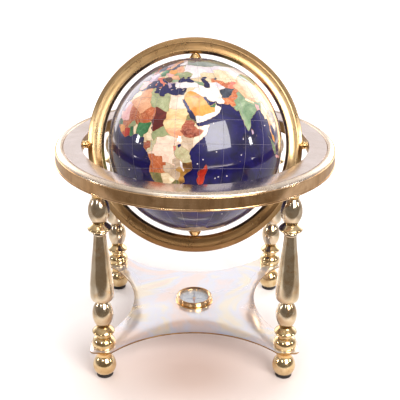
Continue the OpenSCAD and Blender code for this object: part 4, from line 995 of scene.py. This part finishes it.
    ("pink", "88.1,24.2 88.6,26.3 89.8,25.9 92.4,25 91.3,23.5 92.4,22 92,20.5 88.8,21"),
    # East Asia
    ("peach", "73.7,39.5 76,40.4 80.3,42.2 80,45 82.3,45.3 83,47 85.5,47.2 87.3,49.2 91,46 95.5,44.2 101,42.6 105,41.6 111,43.7 112,45 116,46.5 119.7,46.6 116,47.9 117.5,49.5 120,52.5 124,53.3 127,50 131,47.7 135,48.4 131,44.8 131,42.8 126,41.5 124,39.8 120,38 125,30 118,21.9 112,17.5 108,18 108,21.7 105,23 102,22.4 100,21.5 98.5,24 97.5,28 92,27.4 88.2,27.8 86,28 81,30.2 79,32.5 77.5,35.4 74.8,37.2"),
    ("green", "87.7,49.2 91,46 95.5,44.2 101,42.6 105,41.6 111,43.7 112,45 116,46.5 119.7,46.6 116,47.9 116,49.8 110,49.2 106,50.3 102,50.5 98,52 92,50.8"),
    ("cream", "92.3,21.8 93.3,23 94.5,25 97,28.2 98.5,24 100,21.5 97.5,18.5 98.6,15 99,10 93,15"),
    ("peach", "97.5,18.5 100,20.4 101.2,19.5 101.2,17.6 104.8,17.4 105.5,14.3 102.5,13.5 102.8,11.5 101,6 100,5.8 98,7 98.6,15"),
    ("olive", "100,20.4 102,22.4 105,23 108,21.5 110,15 110,10 105,8 106,11 107.5,12.5 107.5,14.5 105.5,14.3 104.8,17.4 101.2,17.6 101.2,19.5"),
    ("amber", "99,6.6 102.8,6.2 105,1 103,0.9 99,4"), ("jade", "94,6 99,5 107,-3 107,-6 104,-7 94,2"),
    ("pink", "104,-5.9 115.5,-6 115.5,-10 104,-8.5"), ("greygreen", "108,1 110,2.6 114,.8 116,4.4 120,4 119,-5 108,-5"),
    ("amber", "109,1.8 110,2.6 114,.8 116,4.4 120,4 118,8 112,5"), ("coral", "118,2 126,2 126,-6 118,-6"),
    ("lavender", "119,20 128,20 128,5 119,5"), ("amber", "128,30 147,34 147,46.1 138,46 128,36"),
    ("coral", "124,39.8 126,41.5 131,42.8 131,33 125,33"), ("pink", "119.5,21.9 123,21.9 123,26 119.5,26"),
    ("coral", "141,-1 155,-1 155,-12 141,-12"), ("greygreen", "130,0 141,0 141,-10 130,-10"),
)]


# ---------------------------------------------------------------- stones
def stone(name, cols, scale=34.0, vein=None, vein_amt=0.5, bands=False, rough=(0.28, 0.42), seed=0.0,
          flecks=None):
    """Polished inlay stone under clear lacquer: blotches, veins or bands, grain and a few bright flecks."""
    k = Mat("stone_" + name)
    k.set(coat=1.0, coat_rough=0.025, coat_ior=1.56, spec=0.25)
    base = k.mapping(loc=(seed, seed * 1.7, -seed))
    if bands:
        w = k.node("ShaderNodeTexWave", wave_type="BANDS", bands_direction="DIAGONAL")
        w.inputs["Scale"].default_value = scale
        w.inputs["Distortion"].default_value = 9.0
        w.inputs["Detail"].default_value = 4.0
        w.inputs["Detail Scale"].default_value = 1.6
        k.link(base, w.inputs["Vector"])
        f = w.outputs["Fac"]
    else:
        f = k.noise(scale, 6, 0.62, base, dist=1.6)
    n = len(cols)
    lo, hi = (0.1, 0.9) if bands else (0.36, 0.66)
    col = k.ramp(f, [(lo + (hi - lo) * i / max(n - 1, 1), lin(c)) for i, c in enumerate(cols)])
    if vein is not None:
        vv = k.noise(scale * 1.4, 7, 0.68, k.mapping(loc=(seed + 0.7, 0.3, seed)), dist=2.4)
        ridge = k.math("ABSOLUTE", k.math("SUBTRACT", vv, 0.5))
        col = k.mix(k.rng(ridge, 0.0, 0.035, vein_amt, 0.0), col, lin(vein))
    grain = k.noise(scale * 22, 3, 0.6)
    col = k.mix(k.rng(grain, 0.35, 0.7, 0.0, 0.22), col, lin(cols[0]))
    if flecks is not None:
        cell = k.voronoi(scale * 11, base)
        pick = k.noise(scale * 1.8, 3, 0.6, k.mapping(loc=(0.2, seed, 0.9)))
        m = k.math("MULTIPLY", k.rng(cell, 0.0, 0.16, 1.0, 0.0), k.rng(pick, 0.54, 0.62, 0.0, 0.9))
        col = k.mix(m, col, lin(flecks))
    k.color(col)
    k.roughness(k.rng(grain, 0.3, 0.7, *rough))
    b = k.node("ShaderNodeBump")
    b.inputs["Strength"].default_value = 0.05
    b.inputs["Distance"].default_value = 0.00005
    k.link(grain, b.inputs["Height"])
    k.link(b.outputs["Normal"], k.bsdf.inputs["Normal"])
    return k.m


STONE = {
    "ocean": dict(cols=((7, 5, 44), (12, 8, 66), (19, 13, 84), (10, 7, 52)), scale=26, vein=(52, 44, 116),
                  vein_amt=0.10, flecks=(196, 164, 104)),
    "rust": dict(cols=((104, 40, 26), (150, 72, 48), (176, 108, 80)), scale=44, vein=(206, 140, 116)),
    "sage": dict(cols=((164, 160, 118), (194, 186, 148), (212, 204, 172)), scale=36, vein=(150, 110, 84)),
    "sand": dict(cols=((220, 168, 112), (232, 198, 146), (226, 208, 168)), scale=30, vein=(206, 140, 90)),
    "pearl": dict(cols=((204, 192, 200), (228, 220, 218), (240, 234, 226)), scale=46, vein=(186, 170, 190)),
    "white": dict(cols=((220, 212, 204), (238, 232, 224), (228, 218, 200)), scale=40, vein=(196, 182, 166)),
    "cream": dict(cols=((206, 180, 140), (228, 208, 172), (236, 222, 196)), scale=40, vein=(178, 146, 104)),
    "pinkcream": dict(cols=((222, 188, 166), (236, 212, 190), (240, 222, 206)), scale=42, vein=(206, 156, 134)),
    "peach": dict(cols=((208, 140, 100), (230, 172, 132), (236, 190, 152)), scale=38, vein=(184, 110, 76)),
    "pink": dict(cols=((196, 122, 130), (222, 160, 160), (230, 180, 174)), scale=40, vein=(236, 210, 204)),
    "lavender": dict(cols=((142, 116, 150), (174, 148, 174), (190, 168, 186)), scale=36, vein=(214, 198, 210)),
    "coral": dict(cols=((184, 72, 58), (220, 104, 84), (230, 130, 104)), scale=38, vein=(238, 180, 156)),
    "red": dict(cols=((140, 24, 12), (180, 42, 18), (204, 66, 34)), scale=36, vein=(110, 20, 16)),
    "orange": dict(cols=((150, 68, 34), (186, 96, 56), (206, 124, 78)), scale=34, vein=(236, 180, 132)),
    "amber": dict(cols=((206, 122, 44), (226, 152, 66), (232, 172, 92)), scale=24, vein=(178, 98, 36)),
    "redbrown": dict(cols=((62, 14, 12), (92, 26, 22), (118, 42, 32)), scale=36, vein=(46, 12, 12)),
    "brown": dict(cols=((46, 30, 26), (78, 48, 36), (104, 66, 46)), scale=34, vein=(150, 110, 76)),
    "golden": dict(cols=((92, 58, 26), (150, 104, 44), (186, 138, 66)), scale=22, bands=True),
    "olive": dict(cols=((80, 78, 46), (118, 110, 62), (146, 134, 84)), scale=34, vein=(60, 58, 38)),
    "green": dict(cols=((30, 78, 48), (56, 114, 68), (82, 140, 90)), scale=34, vein=(20, 54, 38)),
    "darkgreen": dict(cols=((12, 38, 28), (24, 64, 44), (40, 84, 58)), scale=36, vein=(70, 110, 84)),
    "jade": dict(cols=((98, 128, 96), (136, 156, 122), (164, 180, 150)), scale=30, vein=(84, 112, 84)),
    "palegreen": dict(cols=((132, 142, 100), (164, 166, 124), (188, 190, 150)), scale=38, vein=(104, 124, 84)),
    "greygreen": dict(cols=((98, 110, 98), (128, 140, 122), (150, 158, 138)), scale=34, vein=(84, 92, 84)),
    "bluegrey": dict(cols=((26, 30, 42), (46, 52, 66), (66, 72, 86)), scale=36, vein=(96, 100, 112)),
    "tan": dict(cols=((168, 142, 116), (194, 170, 144), (208, 188, 164)), scale=36, vein=(146, 120, 96)),
}
STONE_NAMES = list(STONE)
STONE_MATS = [stone(n, seed=0.37 * i, **STONE[n]) for i, n in enumerate(STONE_NAMES)]
backing = m_paint("globe_backing_resin", (206, 196, 176), (180, 168, 146), (0.5, 0.7))


# ---------------------------------------------------------------- globe
def on_sphere(lon, lat, r):
    la, lo = np.radians(lat), np.radians(np.asarray(lon) - LON0)
    return np.stack([r * np.cos(la) * np.sin(lo), -r * np.cos(la) * np.cos(lo), r * np.sin(la)], axis=-1)


SEAM = -169.5


def ragged(poly, amp, least):
    """Breaks each side into shorter ones with small sideways steps. A side shared by two outlines gets the same steps."""
    def cutup(a, b, out):
        dx = (b[0] - a[0]) * math.cos(math.radians((a[1] + b[1]) / 2))
        length = math.hypot(dx, b[1] - a[1])
        edge = (a[1] < -89 and b[1] < -89) or (abs(a[0] - b[0]) < 1e-9 and (abs(a[0] - SEAM) < 1e-6 or
                                                                        abs(a[0] - SEAM - 360) < 1e-6))
        if length < least and not edge:
            return
        if edge and max(abs(b[0] - a[0]), abs(b[1] - a[1])) <= 3.0:
            return
        lo, hi = (a, b) if a < b else (b, a)
        rnd = random.Random(int(round(lo[0] * 7919 + lo[1] * 104729 + hi[0] * 1299709 + hi[1] * 15485863)))
        k = 0.0 if edge else rnd.uniform(-amp, amp)
        m = ((lo[0] + hi[0]) / 2 - k * (hi[1] - lo[1]), (lo[1] + hi[1]) / 2 + k * (hi[0] - lo[0]))
        m = (min(max(m[0], SEAM), SEAM + 360), min(max(m[1], -90), 90))
        cutup(a, m, out)
        out.append(m)
        cutup(m, b, out)

    res = []
    n = len(poly)
    for i in range(n):
        a, b = poly[i], poly[(i + 1) % n]
        res.append(a)
        cutup(a, b, res)
    return res


def inside(poly, x, y):
    p = np.asarray(poly)
    x0, y0 = p[:, 0], p[:, 1]
    x1, y1 = np.roll(x0, -1), np.roll(y0, -1)
    hit = np.zeros(len(x), dtype=bool)
    for a, b, c, d in zip(x0, y0, x1, y1):
        if b == d:
            continue
        m = ((b > y) != (d > y)) & (x < (c - a) * (y - b) / (d - b) + a)
        hit ^= m
    return hit


def build_globe():
    shift = [[(x + 360 if x < SEAM - 1e-6 else x, y) for x, y in p] for p in LAND]
    land = [ragged(p, 0.13, 1.1) for p in shift]
    water = [ragged(p, 0.10, 1.2) for p in WATER]
    region = [(a, ragged(p, 0.06, 2.2)) for a, p in REGION]
    pts, edges, seen = [], [], {}

    def vid(p):
        key = (round(p[0], 4), round(p[1], 4))
        if key not in seen:
            seen[key] = len(pts)
            pts.append(Vector(key))
        return seen[key]

    for poly in land + water + [p for _, p in region]:
        ids = [vid((min(max(x, SEAM), SEAM + 360), min(max(y, -90), 90))) for x, y in poly]
        for i in range(len(ids)):
            a, b = ids[i], ids[(i + 1) % len(ids)]
            if a != b:
                edges.append((a, b))
    step = 3
    for j in range(-90, 91, step):
        for i in range(0, 361, step):
            vid((SEAM + i, j))
    cv, ce, cf = geometry.delaunay_2d_cdt(pts, edges, [], 0, 1e-4, False)[:3]
    xy = np.array([tuple(p) for p in cv])
    tri = np.array([f for f in cf if len(f) == 3], dtype=int)
    cen = xy[tri].mean(axis=1)
    x, y = cen[:, 0], cen[:, 1]
    is_land = np.zeros(len(tri), dtype=bool)
    for p in land:
        is_land |= inside(p, x, y)
    for p in water:
        is_land &= ~inside(p, x, y)
    ids = np.full(len(tri), -1, dtype=int)
    who = np.full(len(tri), STONE_NAMES.index("cream"), dtype=int)
    for q, (a, p) in enumerate(region):
        m = inside(p, x, y)
        who[m] = STONE_NAMES.index(a)
        ids[m] = q
    who[~is_land] = 0
    ids[~is_land] = -2
    co = on_sphere(xy[:, 0], xy[:, 1], GR)
    bm = bmesh.new()
    bv = [bm.verts.new(c) for c in co]
    lay = bm.faces.layers.int.new("region")
    for t, w, d in zip(tri, who, ids):
        f = bm.faces.new((bv[t[0]], bv[t[1]], bv[t[2]]))
        f.material_index = int(w)
        f[lay] = int(d)
    bmesh.ops.remove_doubles(bm, verts=bm.verts[:], dist=2e-6)
    bmesh.ops.dissolve_degenerate(bm, dist=1e-7, edges=bm.edges[:])
    loose = [v for v in bm.verts if not v.link_faces]
    bmesh.ops.delete(bm, geom=loose, context="VERTS")
    bmesh.ops.recalc_face_normals(bm, faces=bm.faces[:])
    bm.verts.index_update()
    border = []
    for e in bm.edges:
        if len(e.link_faces) == 2 and e.link_faces[0][lay] != e.link_faces[1][lay]:
            border.append((e.verts[0].index, e.verts[1].index))
    V = [tuple(v.co) for v in bm.verts]
    F = [tuple(v.index for v in f.verts) for f in bm.faces]
    I = [f.material_index for f in bm.faces]
    open_edges = sum(1 for e in bm.edges if len(e.link_faces) != 2)
    bm.free()
    # each vertex is pushed exactly onto the sphere; chords between 3-degree points stay under 0.04 mm
    nv = len(V)
    N = [tuple(Vector(v).normalized()) for v in V]
    V = [tuple(Vector(v).normalized() * GR) for v in V]
    # inner wall of the hollow shell
    ib = bmesh.new()
    bmesh.ops.create_icosphere(ib, subdivisions=5, radius=GR - 0.004)
    ib.verts.index_update()
    for v in ib.verts:
        V.append(tuple(v.co))
        N.append(tuple(-v.co.normalized()))
    for f in ib.faces:
        F.append(tuple(nv + v.index for v in reversed(f.verts[:])))
        I.append(len(STONE_NAMES))
    ib.free()
    print("globe: triangles", len(F), "open edges", open_edges, "border edges", len(border))
    ob = new_object("vis_globe_inlay", V, F, STONE_MATS + [backing], "globe",
                    ["globe_shell_north", "globe_shell_south"], POLAR, None, I, N)
    return ob, V, border


def tubes(name, lines, radius, lift, mat, sides=6):
    """Round wires laid on the globe. lines = [(points, closed)], points on any radius; lift = wire centre above the surface."""
    V, F = [], []
    for pts, closed in lines:
        p = np.asarray(pts, float)
        p = p / np.linalg.norm(p, axis=1, keepdims=True) * (GR + lift)
        n = len(p)
        if n < 2:
            continue
        if closed:
            t = np.roll(p, -1, axis=0) - np.roll(p, 1, axis=0)
        else:
            t = np.gradient(p, axis=0)
        t /= np.maximum(np.linalg.norm(t, axis=1, keepdims=True), 1e-12)
        up = p / np.linalg.norm(p, axis=1, keepdims=True)
        side = np.cross(t, up)
        side /= np.maximum(np.linalg.norm(side, axis=1, keepdims=True), 1e-12)
        base = len(V)
        for i in range(n):
            for s in range(sides):
                a = 2 * math.pi * (s + 0.5) / sides
                V.append(tuple(p[i] + radius * (math.cos(a) * side[i] + math.sin(a) * up[i])))
        for i in range(n if closed else n - 1):
            k = (i + 1) % n
            for s in range(sides):
                u = (s + 1) % sides
                F.append((base + i * sides + s, base + k * sides + s, base + k * sides + u, base + i * sides + u))
        if not closed:
            F.append(tuple(base + s for s in range(sides)))
            F.append(tuple(base + (n - 1) * sides + s for s in reversed(range(sides))))
    return new_object(name, V, F, mat, "globe", (), POLAR, 50.0)


def chains(border):
    near = {}
    for a, b in border:
        near.setdefault(a, []).append(b)
        near.setdefault(b, []).append(a)
    used = set()
    out = []

    def walk(a, b):
        line = [a, b]
        used.add((min(a, b), max(a, b)))
        while len(near[line[-1]]) == 2:
            nx = [q for q in near[line[-1]] if (min(q, line[-1]), max(q, line[-1])) not in used]
            if not nx:
                break
            used.add((min(nx[0], line[-1]), max(nx[0], line[-1])))
            line.append(nx[0])
        return line

    for a in near:
        if len(near[a]) != 2:
            for b in near[a]:
                if (min(a, b), max(a, b)) not in used:
                    out.append((walk(a, b), False))
    for a in near:
        for b in near[a]:
            if (min(a, b), max(a, b)) not in used:
                w = walk(a, b)
                if w[0] == w[-1]:
                    out.append((w[:-1], True))
                else:
                    out.append((w, False))
    return out


def m_wire(name, hi, lo, rough=(0.15, 0.3)):
    k = Mat(name)
    k.set(metal=1.0)
    n = k.noise(300, 4, 0.6)
    k.color(k.ramp(n, [(0.35, lin(lo)), (0.65, lin(hi))]))
    k.roughness(k.rng(k.noise(900, 3), 0.3, 0.7, *rough))
    k.bump(k.noise(2400, 2), 0.2, 0.00001)
    return k.m


M["wire_gold"] = m_wire("inlay_wire_gold", (196, 160, 104), (160, 122, 72), (0.4, 0.55))
M["wire_silver"] = m_wire("inlay_wire_silver", (156, 150, 162), (126, 120, 136), (0.45, 0.6))
M["pearl_dot"] = m_paint("island_pearl", (240, 232, 224), (214, 204, 206), (0.12, 0.25))

globe, GV, border = build_globe()
GV = np.array(GV)
tubes("vis_globe_border_wires", [(GV[line], c) for line, c in chains(border)], 0.00016, -0.00005,
      M["wire_gold"], 5)
grid = []
for lat in range(-75, 76, 15):
    grid.append((on_sphere(np.arange(0, 360, 3), np.full(120, float(lat)), GR), True))
for lon in range(0, 360, 15):
    la = np.arange(-85.0, 85.1, 2.5)
    grid.append((on_sphere(np.full(len(la), float(lon)), la, GR), False))
tubes("vis_globe_graticule", grid, 0.00017, -0.00006, M["wire_silver"], 6)


def island_dots():
    places = pl("-15.6,28.1 -24,15.5 -27,38.6 55.5,-4.7 43.9,-12 57.6,-20.2 55.5,-21.1 73.2,3.2 53.8,12.5 92.8,12 14.4,35.9 "
                "28,36.2 9,42.2 3,39.6 6.7,.3 -5.7,-16 -14.4,-8 51,-46.4 69.5,-49.3 72,-6.5 -157,20.5 178,-17.5 "
                "-149.5,-17.6 144.8,13.5 -90.5,-.5 -59,-51.7 -64.8,32.3 166,-21.5 160,-9.5 -61,14.5 -66.5,18.2 -7,62 47.3,-9.4 63.4,-19.7")
    V, F = [], []
    for lon, lat in places:
        c = Vector(on_sphere(lon, lat, GR))
        up = c.normalized()
        a = up.orthogonal().normalized()
        b = up.cross(a)
        base = len(V)
        R, h = 0.00075, 0.00035
        V.append(tuple(c - up * 0.0003))
        rows = [(R, -0.0003), (R, 0.0)] + [(R * math.cos(t), h * math.sin(t)) for t in (0.4, 0.8, 1.2)]
        for r, z in rows:
            for s in range(16):
                w = 2 * math.pi * s / 16
                V.append(tuple(c + a * (r * math.cos(w)) + b * (r * math.sin(w)) + up * z))
        V.append(tuple(c + up * h))
        top = len(V) - 1
        for s in range(16):
            u = (s + 1) % 16
            F.append((base, base + 1 + u, base + 1 + s))
            for q in range(len(rows) - 1):
                o = base + 1 + 16 * q
                F.append((o + s, o + u, o + 16 + u, o + 16 + s))
            o = base + 1 + 16 * (len(rows) - 1)
            F.append((o + s, o + u, top))
    return new_object("vis_globe_island_dots", V, F, M["pearl_dot"], "globe", (), POLAR, 60)


island_dots()

# ---------------------------------------------------------------- finish on the CAD nodes that stay, and painted shade on the horizon ring's inner wall
N = frame["nodes"]
# the horizon ring's inner wall takes the darker plate-edge brass as painted shade, so the globe mirrors a dark wall
for name, key in {"horizon_inner_wall": "plate_edge", "horizon_brackets": "steel", "pivot_bushes": "gold_small",
                  "tie_rods": "steel", "tie_rod_nuts": "steel", "compass_pivot": "steel", "compass_nut": "steel",
                  "pivot_nuts": "steel",
                  "globe_joint_band": "steel", "globe_core_tube": "steel"}.items():
    for s in N[name].material_slots:
        s.material = M[key]


# ---------------------------------------------------------------- floor, light, world
def make_floor():
    k = Mat("studio_floor")
    n = k.noise(3, 4, 0.6)
    col = k.ramp(n, [(0.3, lin((249, 246, 245))), (0.7, lin((252, 250, 249)))])
    sep = k.node("ShaderNodeSeparateXYZ")
    k.link(k.mapping(loc=(0, 0.115, 0)), sep.inputs[0])
    x2 = k.math("MULTIPLY", sep.outputs["X"], sep.outputs["X"])
    y2 = k.math("MULTIPLY", sep.outputs["Y"], sep.outputs["Y"])
    rad = k.math("SQRT", k.math("ADD", x2, y2))
    # painted shadow: the floor is tinted warm grey-beige around a point 0.115 m in front of the stand's centre, fading
    # out 0.215 m from it
    col = k.mix(k.rng(rad, 0.02, 0.215, 1.0, 0.0), col, lin((208, 186, 175)))
    k.color(col)
    k.roughness(k.rng(k.noise(40, 3), 0.3, 0.7, 0.5, 0.6))
    k.bump(k.noise(300, 3), 0.05, 0.0001)
    # painted glow: the floor emits a little light of its own, more away from the object; and a painted
    # reflection: glossy rays see a dark brown emission on the floor in front and to the sides instead of paper
    glow = k.node("ShaderNodeEmission")
    glow.inputs["Color"].default_value = (1.0, 0.99, 0.985, 1)
    k.link(k.rng(rad, 0.20, 0.9, 0.0, 0.42), glow.inputs["Strength"])
    both = k.node("ShaderNodeAddShader")
    k.link(k.bsdf.outputs[0], both.inputs[0])
    k.link(glow.outputs[0], both.inputs[1])
    dark = k.node("ShaderNodeEmission")
    dark.inputs["Color"].default_value = (0.25, 0.21, 0.175, 1)
    dark.inputs["Strength"].default_value = 1.0
    lp = k.node("ShaderNodeLightPath")
    s2 = k.node("ShaderNodeSeparateXYZ")
    k.link(k.obj(), s2.inputs[0])
    front = k.rng(s2.outputs["Y"], -0.24, -0.37, 0.0, 1.0)
    side = k.rng(k.math("ABSOLUTE", s2.outputs["X"]), 0.20, 0.40, 0.0, 0.75)
    pick = k.math("MULTIPLY", k.math("MAXIMUM", front, side), lp.outputs["Is Glossy Ray"])
    blend = k.node("ShaderNodeMixShader")
    k.link(pick, blend.inputs[0])
    k.link(both.outputs[0], blend.inputs[1])
    k.link(dark.outputs[0], blend.inputs[2])
    outn = [n for n in k.m.node_tree.nodes if n.type == "OUTPUT_MATERIAL"][0]
    k.link(blend.outputs[0], outn.inputs["Surface"])
    s = 9.0
    me = bpy.data.meshes.new("studio_floor")
    me.from_pydata([(-s, -s, 0), (s, -s, 0), (s, s, 0), (-s, s, 0)], [], [(0, 1, 2, 3)])
    me.materials.append(k.m)
    ob = bpy.data.objects.new("studio_floor", me)
    bpy.context.scene.collection.objects.link(ob)


def direction(az, el):
    """Unit vector towards azimuth az (0 = the front, positive to the right) and elevation el, in degrees."""
    a, e = math.radians(az), math.radians(el)
    return Vector((math.sin(a) * math.cos(e), -math.cos(a) * math.cos(e), math.sin(e)))


def area(name, az, el, dist, w, h, radiance, color=(1, 1, 1), target=(0, 0, 0.2)):
    L = bpy.data.lights.new(name, "AREA")
    L.shape = "RECTANGLE"
    L.size, L.size_y = w, h
    L.energy = radiance * math.pi * w * h
    L.color = color
    ob = bpy.data.objects.new(name, L)
    bpy.context.scene.collection.objects.link(ob)
    d = direction(az, el)
    ob.location = Vector(target) + d * dist
    ob.rotation_euler = (-d).to_track_quat("-Z", "Y").to_euler()
    return ob


def make_world():
    w = bpy.data.worlds.new("studio")
    bpy.context.scene.world = w
    w.use_nodes = True
    t = w.node_tree
    for n in list(t.nodes):
        t.nodes.remove(n)
    out = t.nodes.new("ShaderNodeOutputWorld")
    tc = t.nodes.new("ShaderNodeTexCoord")
    sep = t.nodes.new("ShaderNodeSeparateXYZ")
    t.links.new(tc.outputs["Generated"], sep.inputs[0])
    # front (towards -Y) dark and brown, behind and sides white
    ry = t.nodes.new("ShaderNodeValToRGB")
    mr = t.nodes.new("ShaderNodeMapRange")
    mr.inputs["From Min"].default_value = -1.0
    mr.inputs["From Max"].default_value = 1.0
    t.links.new(sep.outputs["Y"], mr.inputs["Value"])
    t.links.new(mr.outputs["Result"], ry.inputs["Fac"])
    e = ry.color_ramp.elements
    e[0].position, e[0].color = 0.0, (0.20, 0.17, 0.145, 1)
    e[1].position, e[1].color = 0.78, (1.10, 1.06, 1.06, 1)
    for pos, c in ((0.20, (0.20, 0.17, 0.145, 1)), (0.34, (0.28, 0.24, 0.22, 1)), (0.54, (0.30, 0.27, 0.27, 1)), (0.66, (0.50, 0.46, 0.47, 1)), (0.70, (1.05, 1.0, 1.0, 1))):
        m = ry.color_ramp.elements.new(pos)
        m.color = c
    # overhead ceiling stays bright
    rz = t.nodes.new("ShaderNodeMapRange")
    rz.inputs["From Min"].default_value = 0.45
    rz.inputs["From Max"].default_value = 0.85
    t.links.new(sep.outputs["Z"], rz.inputs["Value"])
    mx = t.nodes.new("ShaderNodeMix")
    mx.data_type = "RGBA"
    ins = [i for i in mx.inputs if i.type == "RGBA"]
    t.links.new(rz.outputs["Result"], mx.inputs["Factor"])
    t.links.new(ry.outputs["Color"], ins[0])
    ins[1].default_value = (0.72, 0.69, 0.68, 1)
    bg = t.nodes.new("ShaderNodeBackground")
    t.links.new([o for o in mx.outputs if o.type == "RGBA"][0], bg.inputs["Color"])
    bg.inputs["Strength"].default_value = 1.0
    cam = t.nodes.new("ShaderNodeBackground")
    cam.inputs["Color"].default_value = (1, 1, 1, 1)
    lp = t.nodes.new("ShaderNodeLightPath")
    mix = t.nodes.new("ShaderNodeMixShader")
    t.links.new(lp.outputs["Is Camera Ray"], mix.inputs[0])
    t.links.new(bg.outputs[0], mix.inputs[1])
    t.links.new(cam.outputs[0], mix.inputs[2])
    t.links.new(mix.outputs[0], out.inputs["Surface"])


make_floor()
make_world()
area("soft_top_left", -34, 74, 1.7, 0.60, 0.60, 2.6)
area("soft_top_right", 21, 78, 1.7, 0.50, 0.50, 2.6)
area("spot_left", -80.4, 9.5, 1.8, 0.12, 0.24, 34.0, target=(0, 0, 0.268))
area("spot_front", -22.2, 26, 1.8, 0.13, 0.20, 34.0, target=(0, 0, 0.268))
area("spot_right", 76, 9.5, 1.8, 0.12, 0.24, 34.0, target=(0, 0, 0.268))
area("side_left", -142, 16, 1.8, 0.9, 1.3, 2.6, (1.0, 0.93, 0.92))
area("side_right", 140, 16, 1.8, 0.9, 1.3, 2.6, (1.0, 0.93, 0.92))
area("window", 31, 30, 1.9, 1.05, 1.10, 9.8, (1.0, 0.97, 0.95))
bpy.context.scene.view_settings.view_transform = "Standard"
